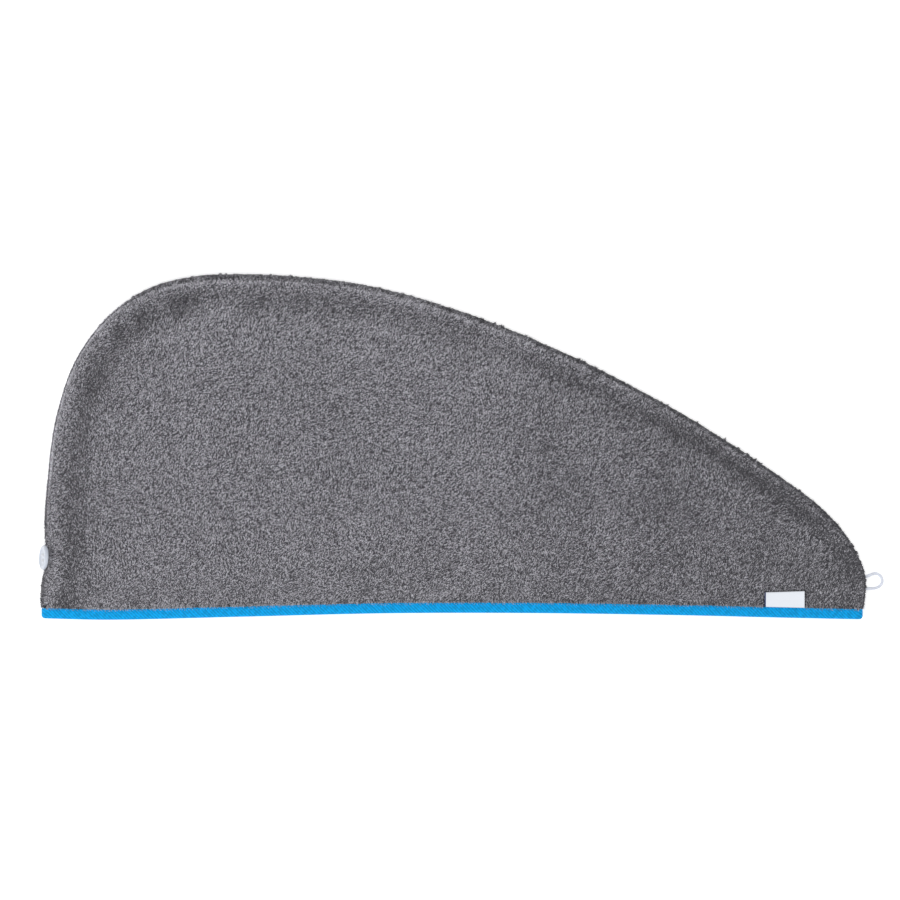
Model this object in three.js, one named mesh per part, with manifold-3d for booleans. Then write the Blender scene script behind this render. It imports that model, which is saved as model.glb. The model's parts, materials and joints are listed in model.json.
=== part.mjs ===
// Hair turban towel, lying on its side as on a table.
// Two terry panels, cut to one teardrop outline, are sewn together along the curved edge and turned.
// The straight edge is the mouth. One folded tape binds it all round, upper run over lower run.
// A button is sewn on the seam at the wide end, and an elastic loop is caught in it at the tail.
// Millimetres. +X runs from the wide end to the tail, +Y from the mouth to the curved edge, +Z up.

import * as THREE from 'three';
import { mergeVertices } from 'three/addons/utils/BufferGeometryUtils.js';
import Module from 'manifold-3d';

const wasm = await Module();
wasm.setup();

// Driving sizes of the hood
const hoodLength = 640;
const hoodDepth = 268;
const cloth = 3;
const clothEdge = 2;
const seamGap = 0.3;
const rimHeight = 13;
const rimWidth = 6.5;
const seamRoll = 5;
const allowance = 10;
const loft = 22;
const valleyAt = 17;
const valleyWidth = 7;
const valleyDepth = 2.2;
const riseRun = 46;
const foldRise = 1.8;
const creaseDepth = 0.9;
const creaseWidth = 1.3;

// Driving sizes of the binding tape
const tapeWidth = 8;
const tapeThick = 5.2;
const tapeWall = 1.25;
const tapeGap = 0.6;
const tapeClear = 0.35;
const mouthOpening = 9;
const lipRun = 30;

// Driving sizes of the button and its thread
const buttonSize = 19;
const buttonThick = 3;
const buttonDish = 0.8;
const buttonRimWidth = 2.6;
const buttonHole = 2;
const buttonHolePitch = 4.2;
const buttonLean = 72;
const buttonSink = 3.3;
const buttonSinkReach = 16;
const buttonAlong = 0.0435;
const shankThick = 3.2;
const shankLength = 1.2;
const threadThick = 1.2;
const standOff = 0.3;

// Driving sizes of the label and of the elastic loop
const labelWidth = 31;
const labelHeight = 12.5;
const labelThick = 0.6;
const labelFold = 1.9;
const labelAcross = 0.8776;
const labelSkew = 1.6;
const loopCord = 2.3;
const loopAlong = 0.9725;
const loopSpread = 9.3;

// Mesh fineness
const seamStations = 69;
const mouthStations = 28;
const turnSteps = 6;
const seamSamples = 400;
const ringReach = 0.62;

// The curved edge, from the corner at the wide end, over the dome and down to the tail.
// across and up are shares of the hood's length and depth.
// rim is a share of rimHeight, and roll, how far the seam has rolled onto the upper side, of seamRoll.
const SEAM = [
  { across: 0.0000, up: 0.0290, rim: 0.86, roll: 0.60 },
  { across: 0.0000, up: 0.0850, rim: 0.92, roll: 0.56 },
  { across: 0.0036, up: 0.2430, rim: 1.00, roll: 0.30 },
  { across: 0.0085, up: 0.4020, rim: 1.00, roll: 0.24 },
  { across: 0.0182, up: 0.5750, rim: 1.00, roll: 0.18 },
  { across: 0.0424, up: 0.7486, rim: 0.98, roll: 0.16 },
  { across: 0.0824, up: 0.8786, rim: 0.96, roll: 0.24 },
  { across: 0.1320, up: 0.9595, rim: 0.95, roll: 0.64 },
  { across: 0.1880, up: 0.9942, rim: 0.95, roll: 1.00 },
  { across: 0.2412, up: 1.0000, rim: 0.94, roll: 1.06 },
  { across: 0.3260, up: 0.9900, rim: 0.93, roll: 0.95 },
  { across: 0.4170, up: 0.9566, rim: 0.90, roll: 0.80 },
  { across: 0.5380, up: 0.8680, rim: 0.86, roll: 0.70 },
  { across: 0.6590, up: 0.7450, rim: 0.82, roll: 0.66 },
  { across: 0.7810, up: 0.5910, rim: 0.78, roll: 0.60 },
  { across: 0.9020, up: 0.4046, rim: 0.75, roll: 0.40 },
  { across: 0.9515, up: 0.3120, rim: 0.74, roll: 0.26 },
  { across: 0.9809, up: 0.2280, rim: 0.74, roll: 0.20 },
  { across: 0.9984, up: 0.1416, rim: 0.75, roll: 0.18 },
  { across: 1.0004, up: 0.1010, rim: 0.77, roll: 0.20 },
  { across: 0.9980, up: 0.0290, rim: 0.82, roll: 0.26 },
];

// The outer edge of the binding. open is the lift of the upper run, as a share of mouthOpening.
const MOUTH = [
  { across: 0.0010, up: 0.0040, open: 0.00 },
  { across: 0.0800, up: 0.0000, open: 0.28 },
  { across: 0.2400, up: 0.0087, open: 0.82 },
  { across: 0.4200, up: 0.0190, open: 1.00 },
  { across: 0.6000, up: 0.0195, open: 0.92 },
  { across: 0.7800, up: 0.0130, open: 0.60 },
  { across: 0.9000, up: 0.0060, open: 0.24 },
  { across: 0.9970, up: 0.0010, open: 0.00 },
];

// The height of the upper panel along the hood, as a share of loft
const LOFT = [
  { across: 0.00, height: 0.84 },
  { across: 0.12, height: 0.96 },
  { across: 0.30, height: 1.00 },
  { across: 0.50, height: 0.96 },
  { across: 0.70, height: 0.82 },
  { across: 0.85, height: 0.66 },
  { across: 1.00, height: 0.52 },
];

// Soft folds of the upper panel. turn is in degrees from +X.
// across, long and wide are shares of the hood's length, up of its depth, and rise of foldRise.
const FOLDS = [
  { across: 0.200, up: 0.900, turn: 80, long: 0.040, wide: 0.022, rise: 0.9 },
  { across: 0.155, up: 0.870, turn: 35, long: 0.045, wide: 0.018, rise: -0.8 },
  { across: 0.290, up: 0.895, turn: -4, long: 0.070, wide: 0.016, rise: -0.8 },
  { across: 0.335, up: 0.640, turn: -52, long: 0.060, wide: 0.020, rise: -0.7 },
  { across: 0.300, up: 0.720, turn: -60, long: 0.060, wide: 0.024, rise: 0.5 },
  { across: 0.420, up: 0.150, turn: 8, long: 0.090, wide: 0.034, rise: -0.6 },
  { across: 0.550, up: 0.500, turn: 82, long: 0.090, wide: 0.026, rise: 0.6 },
  { across: 0.615, up: 0.380, turn: 96, long: 0.080, wide: 0.024, rise: -0.6 },
  { across: 0.680, up: 0.340, turn: 84, long: 0.080, wide: 0.024, rise: 0.6 },
  { across: 0.760, up: 0.300, turn: 102, long: 0.060, wide: 0.022, rise: -0.6 },
  { across: 0.835, up: 0.240, turn: 80, long: 0.050, wide: 0.020, rise: 0.5 },
  { across: 0.093, up: 0.832, turn: 90, long: 0.014, wide: 0.006, rise: -0.8 },
  { across: 0.120, up: 0.872, turn: 85, long: 0.017, wide: 0.007, rise: -1.0 },
  { across: 0.177, up: 0.920, turn: 27, long: 0.026, wide: 0.010, rise: -1.0 },
  { across: 0.259, up: 0.903, turn: 28, long: 0.024, wide: 0.010, rise: -0.9 },
  { across: 0.344, up: 0.899, turn: 0, long: 0.013, wide: 0.009, rise: -0.7 },
  { across: 0.385, up: 0.899, turn: -5, long: 0.018, wide: 0.008, rise: -0.8 },
  { across: 0.457, up: 0.866, turn: -14, long: 0.026, wide: 0.009, rise: -0.5 },
];

// The line that the rings of each panel shrink towards, as shares of the hood's length and depth
const SPINE = { from: { across: 0.22, up: 0.47 }, to: { across: 0.92, up: 0.16 } };

// The elastic loop, from its upper end to its lower one.
// out is the distance from the seam, along the distance between the ends and lift the height of the
// cord's middle, as shares of loopSpread, of loopSpread and of the seam's own height.
const LOOP = [
  { out: 0.00, along: 0.00, lift: 1.00 },
  { out: 0.24, along: -0.05, lift: 0.93 },
  { out: 0.50, along: -0.12, lift: 0.62 },
  { out: 0.80, along: -0.16, lift: 0.30 },
  { out: 1.08, along: -0.03, lift: 0.06 },
  { out: 1.27, along: 0.20, lift: 0.00 },
  { out: 1.32, along: 0.48, lift: 0.00 },
  { out: 1.24, along: 0.76, lift: 0.00 },
  { out: 1.00, along: 0.98, lift: 0.06 },
  { out: 0.70, along: 1.06, lift: 0.30 },
  { out: 0.42, along: 1.06, lift: 0.62 },
  { out: 0.20, along: 1.03, lift: 0.93 },
  { out: 0.00, along: 1.00, lift: 1.00 },
];

const tapeHalf = tapeThick / 2;
const slotHalf = tapeHalf - tapeWall;
const lowerRun = tapeHalf;
const cornerRun = tapeThick + tapeGap + tapeHalf;
const cornerMid = (lowerRun + cornerRun) / 2;
const turnRadius = (cornerRun - lowerRun) / 2;
const gripEnd = tapeWidth + seamGap;
const tongueStart = tapeWall + tapeClear + 0.4;
const tongueSide = turnRadius + tapeHalf + 0.6;
const frontCornerIn = 1.8;
const labelInner = labelFold - labelThick;
const tongue = gripEnd - tongueStart;

const mix = THREE.MathUtils.lerp;
const smooth = (x) => THREE.MathUtils.smoothstep(x, 0, 1);
const bell = (x) => Math.exp(-x * x);

function curveThrough(rows, valuesOf) {
  const points = rows.map((row) => new THREE.Vector3(...valuesOf(row)));
  const curve = new THREE.CatmullRomCurve3(points, false, 'centripetal');
  curve.arcLengthDivisions = 600;
  return curve;
}

const seamPlan = curveThrough(SEAM, (r) => [r.across * hoodLength, r.up * hoodDepth, 0]);
const seamForm = curveThrough(SEAM, (r) => [r.rim * rimHeight / 2, r.roll * seamRoll, 0]);
const mouthPlan = curveThrough(MOUTH, (r) => [
  r.across * hoodLength,
  r.up * hoodDepth,
  r.open * mouthOpening,
]);
const loftCurve = curveThrough(LOFT, (r) => [r.across * hoodLength, r.height * loft, 0]);

// A point of the curved edge at a share of its length, with its inward normal and its form.
// The button's thread pulls the edge in where the button is sewn on.
const seamLength = seamPlan.getLength();
function seamAt(share) {
  const t = seamPlan.getUtoTmapping(share);
  const point = seamPlan.getPoint(t);
  const tangent = seamPlan.getTangent(t);
  const normal = new THREE.Vector3(tangent.y, -tangent.x, 0).normalize();
  const sink = buttonSink * bell((share - buttonAlong) * seamLength / buttonSinkReach);
  point.addScaledVector(normal, sink);
  const form = seamForm.getPoint(t);
  return { point, tangent, normal, half: form.x, roll: form.y };
}

const seamLine = [];
for (let i = 0; i <= seamSamples; i++) {
  seamLine.push(seamAt(i / seamSamples));
}

const mouthLine = mouthPlan.getSpacedPoints(seamSamples);
const loftLine = loftCurve.getSpacedPoints(seamSamples);

// The height along a line of points at a place along the hood
function readAlong(line, x, key) {
  const after = line.findIndex((p) => p.x >= x);
  if (after <= 0) {
    return after === 0 ? line[0][key] : line[line.length - 1][key];
  }
  const a = line[after - 1];
  const b = line[after];
  return mix(a[key], b[key], (x - a.x) / (b.x - a.x));
}

// How far a place is from the curved edge and from the mouth, with the form of the nearest seam
function placeOf(x, y) {
  let best = Infinity;
  let index = 0;
  let share = 0;
  for (let i = 0; i < seamSamples; i++) {
    const a = seamLine[i].point;
    const b = seamLine[i + 1].point;
    const dx = b.x - a.x;
    const dy = b.y - a.y;
    const t = THREE.MathUtils.clamp(((x - a.x) * dx + (y - a.y) * dy) / (dx * dx + dy * dy), 0, 1);
    const away = Math.hypot(x - a.x - t * dx, y - a.y - t * dy);
    if (away < best) {
      best = away;
      index = i;
      share = t;
    }
  }
  const toMouth = y - readAlong(mouthLine, x, 'y');
  const settle = smooth((toMouth - gripEnd) / lipRun);
  const half = mix(seamLine[index].half, seamLine[index + 1].half, share);
  return {
    x,
    y,
    inside: best,
    toMouth,
    mid: mix(cornerMid, half, settle),
    roll: mix(seamLine[index].roll, seamLine[index + 1].roll, share),
  };
}

const upperRun = (x) => cornerRun + readAlong(mouthLine, x, 'z');
const rimArc = (inside) => Math.sqrt(1 - (1 - Math.min(inside / rimWidth, 1)) ** 2);

function foldsAt(x, y) {
  let sum = 0;
  for (const fold of FOLDS) {
    const turn = THREE.MathUtils.degToRad(fold.turn);
    const dx = x - fold.across * hoodLength;
    const dy = y - fold.up * hoodDepth;
    const along = (dx * Math.cos(turn) + dy * Math.sin(turn)) / (fold.long * hoodLength);
    const over = (dy * Math.cos(turn) - dx * Math.sin(turn)) / (fold.wide * hoodLength);
    sum += fold.rise * foldRise * bell(along) * bell(over);
  }
  return sum;
}

// The upper outside of the hood inside its rim: ridge over the seam allowance, valley, then the loft
function crest(place) {
  const ridge = 2 * place.mid;
  const high = Math.max(readAlong(loftLine, place.x, 'y'), ridge);
  const rise = smooth((place.inside - valleyAt * 0.7) / riseRun);
  const valley = valleyDepth * bell((place.inside - valleyAt) / valleyWidth);
  const lift = foldsAt(place.x, place.y) * smooth((place.inside - rimWidth) / valleyAt);
  const body = mix(ridge, high, rise) - valley + lift;
  const lip = upperRun(place.x) + clothEdge / 2;
  return mix(lip, body, smooth((place.toMouth - gripEnd) / lipRun));
}

const upperSkin = (place) => mix(place.mid, crest(place), rimArc(place.inside));

function frontOuter(place) {
  if (place.gripped) {
    return upperRun(place.x) + clothEdge / 2;
  }
  const crease = creaseDepth * bell((place.inside - place.roll - seamGap) / creaseWidth);
  return upperSkin(place) - crease;
}

function frontInner(place) {
  if (place.gripped) {
    return upperRun(place.x) - clothEdge / 2;
  }
  const thick = mix(clothEdge, cloth, smooth((place.toMouth - gripEnd) / cloth));
  const under = crest(place) - thick;
  const plane = Math.min(place.mid + seamGap / 2, under);
  return mix(plane, under, smooth((place.inside - allowance) / cloth));
}

function backOuter(place) {
  const raise = (lowerRun - clothEdge / 2) * (1 - smooth((place.toMouth - gripEnd) / tapeWidth));
  return mix(place.mid, raise, rimArc(place.inside));
}

function backInner(place) {
  const raise = backOuter({ ...place, inside: rimWidth });
  if (place.gripped) {
    return raise + clothEdge;
  }
  if (place.rolled) {
    return upperSkin(place);
  }
  const thick = mix(clothEdge, cloth, smooth((place.toMouth - gripEnd) / cloth));
  const plane = place.mid - seamGap / 2;
  return mix(plane, raise + thick, smooth((place.inside - allowance) / cloth));
}

// The end, on the spine, of the ray that the rings of a panel run along from one station of its edge
function spinePoint(x) {
  const share = THREE.MathUtils.clamp(x / hoodLength, 0, 1);
  const across = mix(SPINE.from.across, SPINE.to.across, share);
  return new THREE.Vector3(across * hoodLength, mix(SPINE.from.up, SPINE.to.up, share) * hoodDepth, 0);
}

function station(point, normal, tail) {
  const ray = spinePoint(point.x).sub(point);
  const reach = ray.length();
  ray.normalize();
  const lean = Math.max(ray.dot(normal), 0.45);
  return { point, ray, reach, lean, tail };
}

// The edge of a panel: the curved seam, then the tongue that the tape grips, with a step at each corner
function panelEdge(insetOf, cornerIn) {
  const edge = [];
  for (let i = 0; i <= seamStations; i++) {
    const seam = seamAt(i / seamStations);
    if (i === 0 || i === seamStations) {
      seam.point.y = readAlong(mouthLine, seam.point.x, 'y') + gripEnd;
    }
    edge.push({ ...station(seam.point, seam.normal, 0), inset: insetOf(seam), atSeam: true });
  }
  const left = mouthLine[0].x + tongueSide + cornerIn;
  const right = mouthLine[seamSamples].x - tongueSide - cornerIn;
  const atMouth = (x, tail) => {
    const point = new THREE.Vector3(x, readAlong(mouthLine, x, 'y') + gripEnd, 0);
    edge.push({ ...station(point, new THREE.Vector3(0, 1, 0), tail), inset: 0, atSeam: false });
  };
  atMouth(right, 0);
  for (let i = 0; i <= mouthStations; i++) {
    atMouth(mix(right, left, i / mouthStations), tongue);
  }
  atMouth(left, 0);
  return edge;
}

// One face of a panel, as rings from its edge inwards and a last patch in the middle.
// depths lists how far in each ring lies, at the seam and from the tape at the mouth.
// A distance below zero at the mouth is a share of the tongue in the tape.
function ringFace(edge, depths, shares, heightOf) {
  const deepest = depths[depths.length - 1].mouth;
  const rings = depths.map((depth) => edge.map((s) => {
    const wanted = s.atSeam ? depth.seam(s.inset) : depth.mouth;
    const p = s.point.clone();
    if (wanted < 0) {
      p.y += wanted * s.tail;
    } else {
      const farthest = ringReach * s.reach * Math.min(1, wanted / deepest + 0.1);
      p.addScaledVector(s.ray, Math.min(wanted / s.lean, farthest));
    }
    const place = placeOf(p.x, p.y);
    place.inside = s.atSeam && wanted === 0 ? 0 : place.inside;
    place.gripped = !s.atSeam && wanted <= 0;
    place.rolled = s.atSeam && depth.rolled;
    p.z = heightOf(place);
    return p;
  }));
  const last = rings[depths.length - 1];
  for (const share of shares) {
    rings.push(edge.map((s, i) => {
      const p = last[i].clone().lerp(s.point.clone().addScaledVector(s.ray, s.reach), share);
      p.z = heightOf(placeOf(p.x, p.y));
      return p;
    }));
  }
  return rings;
}

function geometryOf(triangles) {
  const positions = [];
  for (const [a, b, c] of triangles) {
    if (a.equals(b) || b.equals(c) || c.equals(a)) {
      continue;
    }
    positions.push(...a, ...b, ...c);
  }
  const geometry = new THREE.BufferGeometry();
  geometry.setAttribute('position', new THREE.Float32BufferAttribute(positions, 3));
  const merged = mergeVertices(geometry, 1e-3);
  merged.computeVertexNormals();
  return merged;
}

// Triangles between two closed rings of as many points
function band(a, b, triangles) {
  const n = a.length;
  for (let i = 0; i < n; i++) {
    const j = (i + 1) % n;
    triangles.push([a[i], b[i], b[j]], [a[i], b[j], a[j]]);
  }
}

// The last ring, closed by triangles between its far side and its near side
function patch(ring, triangles, flip) {
  const n = ring.length;
  const across = ring.map((p) => p.x);
  const start = across.indexOf(Math.min(...across));
  const end = across.indexOf(Math.max(...across));
  let far = start;
  let near = start;
  while (far !== end || near !== end) {
    const nextFar = (far + 1) % n;
    const nextNear = (near + n - 1) % n;
    const farFirst = ring[nextFar].distanceTo(ring[near]) <= ring[nextNear].distanceTo(ring[far]);
    const stepFar = near === end || (far !== end && farFirst);
    const tip = stepFar ? nextFar : nextNear;
    if (far !== near && tip !== near && tip !== far) {
      triangles.push(flip ? [ring[far], ring[tip], ring[near]] : [ring[far], ring[near], ring[tip]]);
    }
    if (stepFar) {
      far = tip;
    } else {
      near = tip;
    }
  }
}

// A closed panel from its upper and its lower face. The edge runs clockwise seen from above.
function panelOf(upper, lower) {
  const triangles = [];
  for (let k = 0; k + 1 < upper.length; k++) {
    band(upper[k], upper[k + 1], triangles);
  }
  patch(upper[upper.length - 1], triangles, false);
  for (let k = 0; k + 1 < lower.length; k++) {
    band(lower[k + 1], lower[k], triangles);
  }
  patch(lower[lower.length - 1], triangles, true);
  band(lower[0], upper[0], triangles);
  return geometryOf(triangles);
}

const fixed = (mm) => () => mm;
const past = (mm) => (inset) => inset + mm;
const shareOf = (share) => (inset) => inset * share;

function frontPanel() {
  const edge = panelEdge((seam) => seam.roll + seamGap, frontCornerIn);
  const outer = ringFace(edge, [
    { seam: past(0), mouth: -1 },
    { seam: past(0.9), mouth: -0.5 },
    { seam: past(2.4), mouth: 0 },
    { seam: past(4.6), mouth: 2 },
    { seam: fixed(13), mouth: 7 },
    { seam: fixed(17), mouth: 13 },
    { seam: fixed(22), mouth: 19 },
    { seam: fixed(30), mouth: 27 },
    { seam: fixed(42), mouth: 38 },
  ], [0.25, 0.5, 0.75], frontOuter);
  const inner = ringFace(edge, [
    { seam: past(0), mouth: -1 },
    { seam: fixed(allowance), mouth: 0 },
    { seam: fixed(allowance + cloth / 2), mouth: cloth / 2 },
    { seam: fixed(allowance + cloth), mouth: cloth },
    { seam: fixed(18), mouth: 13 },
    { seam: fixed(27), mouth: 22 },
    { seam: fixed(42), mouth: 38 },
  ], [0.4, 0.75], frontInner);
  return panelOf(outer, inner);
}

function backPanel() {
  const edge = panelEdge((seam) => seam.roll, 0);
  const inner = ringFace(edge, [
    { seam: shareOf(0), mouth: -1, rolled: true },
    { seam: shareOf(0.12), mouth: -0.7, rolled: true },
    { seam: shareOf(0.45), mouth: -0.3, rolled: true },
    { seam: shareOf(1), mouth: 0, rolled: true },
    { seam: shareOf(1), mouth: 0.3 },
    { seam: fixed(allowance), mouth: cloth / 2 },
    { seam: fixed(allowance + cloth / 2), mouth: cloth },
    { seam: fixed(allowance + cloth), mouth: tapeWidth },
    { seam: fixed(20), mouth: 15 },
  ], [], backInner);
  const outer = ringFace(edge, [
    { seam: fixed(0), mouth: -1 },
    { seam: fixed(rimWidth * 0.06), mouth: -0.5 },
    { seam: fixed(rimWidth * 0.24), mouth: 0 },
    { seam: fixed(rimWidth * 0.55), mouth: tapeWidth / 2 },
    { seam: fixed(rimWidth), mouth: tapeWidth },
    { seam: fixed(20), mouth: 15 },
  ], [], backOuter);
  return panelOf(inner, outer);
}

// The binding: a folded tape whose slot takes the cloth's edge, once round the mouth
function edgeBinding() {
  const along = [];
  const left = mouthLine[0].x + turnRadius + tapeHalf;
  const right = mouthLine[seamSamples].x - turnRadius - tapeHalf;
  for (let i = 0; i <= mouthStations; i++) {
    along.push({ x: mix(left, right, i / mouthStations), z: lowerRun, turn: 0 });
  }
  for (let i = 1; i < turnSteps; i++) {
    const angle = Math.PI * i / turnSteps;
    along.push({
      x: right + turnRadius * Math.sin(angle),
      z: cornerMid - turnRadius * Math.cos(angle),
      turn: angle,
    });
  }
  for (let i = 0; i <= mouthStations; i++) {
    const x = mix(right, left, i / mouthStations);
    along.push({ x, z: upperRun(x), turn: Math.PI });
  }
  for (let i = 1; i < turnSteps; i++) {
    const angle = Math.PI * (1 + i / turnSteps);
    along.push({
      x: left + turnRadius * Math.sin(angle),
      z: cornerMid - turnRadius * Math.cos(angle),
      turn: angle,
    });
  }
  const bulge = tapeHalf * 0.7;
  const section = [
    [tapeWidth, tapeHalf - 0.15],
    [tapeWidth * 0.8, tapeHalf],
    [tapeWidth * 0.3, tapeHalf],
    [tapeWidth * 0.1, bulge],
    [0, bulge * 0.4],
    [0, -bulge * 0.4],
    [tapeWidth * 0.1, -bulge],
    [tapeWidth * 0.3, -tapeHalf],
    [tapeWidth * 0.8, -tapeHalf],
    [tapeWidth, -tapeHalf + 0.15],
    [tapeWidth, -slotHalf],
    [tapeWall, -slotHalf],
    [tapeWall, slotHalf],
    [tapeWidth, slotHalf],
  ];
  const rings = along.map(({ x, z, turn }) => {
    const y = readAlong(mouthLine, THREE.MathUtils.clamp(x, mouthLine[0].x, mouthLine[seamSamples].x), 'y');
    return section.map(([inwards, side]) => new THREE.Vector3(
      x - side * Math.sin(turn),
      y + inwards,
      z + side * Math.cos(turn),
    ));
  });
  const triangles = [];
  rings.forEach((ring, i) => band(rings[(i + 1) % rings.length], ring, triangles));
  return geometryOf(triangles);
}

// Joining and cutting of closed geometries
function solidOf(geometry) {
  const bare = geometry.index ? geometry.toNonIndexed() : geometry.clone();
  bare.deleteAttribute('normal');
  bare.deleteAttribute('uv');
  const merged = mergeVertices(bare, 1e-4);
  return new wasm.Manifold(new wasm.Mesh({
    numProp: 3,
    vertProperties: merged.attributes.position.array,
    triVerts: new Uint32Array(merged.index.array),
  }));
}

function geometryFrom(solid) {
  const mesh = solid.getMesh();
  const geometry = new THREE.BufferGeometry();
  geometry.setAttribute('position', new THREE.Float32BufferAttribute(mesh.vertProperties, 3));
  geometry.setIndex(new THREE.BufferAttribute(mesh.triVerts, 1));
  geometry.computeVertexNormals();
  return geometry;
}

const holeAway = buttonHolePitch / 2;
const holePlaces = [
  [holeAway, holeAway],
  [-holeAway, holeAway],
  [-holeAway, -holeAway],
  [holeAway, -holeAway],
];

function rodAlongZ(radius, low, high, sides) {
  const rod = new THREE.CylinderGeometry(radius, radius, high - low, sides);
  return rod.rotateX(Math.PI / 2).translate(0, 0, (low + high) / 2);
}

// The button about its own axis, its back at zero: a dished face inside a rounded rim, and four holes
function buttonDisc() {
  const r = buttonSize / 2;
  const t = buttonThick;
  const face = t - buttonDish;
  const profile = [
    [0, 0], [r - 1.2, 0], [r - 0.4, 0.3], [r, t * 0.4], [r - 0.15, t * 0.75], [r - 0.9, t],
    [r - buttonRimWidth * 0.6, t], [r - buttonRimWidth, face + 0.1],
    [r - buttonRimWidth - 0.8, face], [0, face],
  ].map(([x, y]) => new THREE.Vector2(x, y));
  let solid = solidOf(new THREE.LatheGeometry(profile, 40).rotateX(Math.PI / 2));
  for (const [x, y] of holePlaces) {
    solid = solid.subtract(solidOf(rodAlongZ(buttonHole / 2, -1, t + 1, 10).translate(x, y, 0)));
  }
  return geometryFrom(solid);
}

// The sewing thread: a shank behind the button, a leg through each hole and two bars across the face
function buttonThread(drop) {
  const face = buttonThick - buttonDish + standOff;
  const legRadius = threadThick / 2;
  let solid = solidOf(rodAlongZ(shankThick / 2, -drop, -standOff, 12));
  const foot = new THREE.BoxGeometry(buttonHolePitch + threadThick, buttonHolePitch + threadThick, 0.5);
  solid = solid.add(solidOf(foot.translate(0, 0, -standOff - 0.25)));
  for (const [x, y] of holePlaces) {
    solid = solid.add(solidOf(rodAlongZ(legRadius, -standOff - 0.3, face + 0.4, 8).translate(x, y, 0)));
  }
  for (const side of [-1, 1]) {
    const bar = new THREE.CapsuleGeometry(legRadius, buttonHolePitch, 2, 8);
    bar.translate(side * buttonHolePitch / 2, 0, face + legRadius);
    solid = solid.add(solidOf(bar));
  }
  return geometryFrom(solid);
}

// Where the button sits: it leans on the rim, its lower edge just clear of the table.
// drop is how far the shank reaches down from the button's back before it meets the rim.
function buttonPlace() {
  const seam = seamAt(buttonAlong);
  const lean = THREE.MathUtils.degToRad(buttonLean);
  const half = placeOf(seam.point.x, seam.point.y).mid;
  const norm = Math.hypot(rimWidth * Math.sin(lean), half * Math.cos(lean));
  const out = rimWidth - rimWidth ** 2 * Math.sin(lean) / norm;
  const touch = half + half ** 2 * Math.cos(lean) / norm;
  const height = standOff + (buttonSize / 2) * Math.sin(lean);
  const slide = (height - touch - shankLength * Math.cos(lean)) / Math.sin(lean);
  const inwards = out + slide * Math.cos(lean) - shankLength * Math.sin(lean);
  const origin = seam.point.clone().addScaledVector(seam.normal, inwards);
  origin.z = height;
  const axis = seam.normal.clone().multiplyScalar(-Math.sin(lean));
  axis.z = Math.cos(lean);
  let drop = standOff;
  const clearAt = (distance, side) => {
    const p = axis.clone().multiplyScalar(-distance).add(origin);
    const inside = p.clone().sub(seam.point).dot(seam.normal) + side * shankThick / 2 * Math.cos(lean);
    const level = p.z + side * shankThick / 2 * Math.sin(lean) - half;
    return Math.hypot((inside - rimWidth) / rimWidth, level / half) > 1 + 2 * standOff / rimHeight;
  };
  while (drop < buttonSize && [-1, 0, 1].every((side) => clearAt(drop + 0.1, side))) {
    drop += 0.05;
  }
  return { origin, axis, drop };
}

// The label: a ribbon folded over, its fold away from the mouth, lying on the upper panel
function foldedLabel() {
  const start = labelAcross * hoodLength;
  const steps = 6;
  const sections = [];
  for (let i = 0; i <= steps; i++) {
    const x = start + labelWidth * i / steps;
    const foot = readAlong(mouthLine, x, 'y') + gripEnd;
    const tall = labelHeight - labelSkew * (1 - i / steps);
    const top = (share) => {
      const place = placeOf(x, foot + tall * share);
      return frontOuter(place) + standOff + 0.2;
    };
    const at = (share, rise) => new THREE.Vector3(x, foot + tall * share, top(share) + rise);
    sections.push([
      at(0.03, 0), at(0.3, 0), at(0.65, 0), at(0.96, 0), at(1, labelFold * 0.5), at(0.96, labelFold),
      at(0.65, labelFold), at(0.3, labelFold), at(0.03, labelFold * 0.85),
      at(0.03, labelFold * 0.85 - labelThick), at(0.3, labelInner), at(0.65, labelInner),
      at(0.92, labelInner), at(0.95, labelFold * 0.5), at(0.92, labelThick),
      at(0.65, labelThick), at(0.3, labelThick), at(0.03, labelThick),
    ]);
  }
  const triangles = [];
  for (let i = 0; i < steps; i++) {
    band(sections[i + 1], sections[i], triangles);
  }
  const closeEnd = (ring, flip) => {
    const flat = ring.map((p) => new THREE.Vector2(p.y, p.z));
    for (const [a, b, c] of THREE.ShapeUtils.triangulateShape(flat, [])) {
      triangles.push(flip ? [ring[a], ring[c], ring[b]] : [ring[a], ring[b], ring[c]]);
    }
  };
  closeEnd(sections[0], true);
  closeEnd(sections[steps], false);
  return geometryOf(triangles);
}

// The elastic loop: a round cord that leaves the seam at the tail, dips to the table and comes back
function elasticLoop() {
  const seam = seamAt(loopAlong);
  const rest = loopCord / 2;
  const high = seam.half;
  const points = LOOP.map((row) => {
    const share = loopAlong + row.along * loopSpread / seamLength;
    const near = seamAt(Math.min(share, 1));
    const out = standOff + 0.4 + row.out * loopSpread;
    const p = seam.point.clone()
      .addScaledVector(seam.tangent, row.along * loopSpread)
      .addScaledVector(seam.normal, -out);
    if (row.out === 0) {
      p.copy(near.point).addScaledVector(near.normal, -out);
    }
    p.z = mix(rest, high, row.lift);
    return p;
  });
  const route = new THREE.CatmullRomCurve3(points, false, 'centripetal');
  const ring = new THREE.Shape();
  ring.absarc(0, 0, loopCord / 2, 0, 2 * Math.PI);
  return new THREE.ExtrudeGeometry(ring, { steps: 22, curveSegments: 4, extrudePath: route });
}

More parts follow.
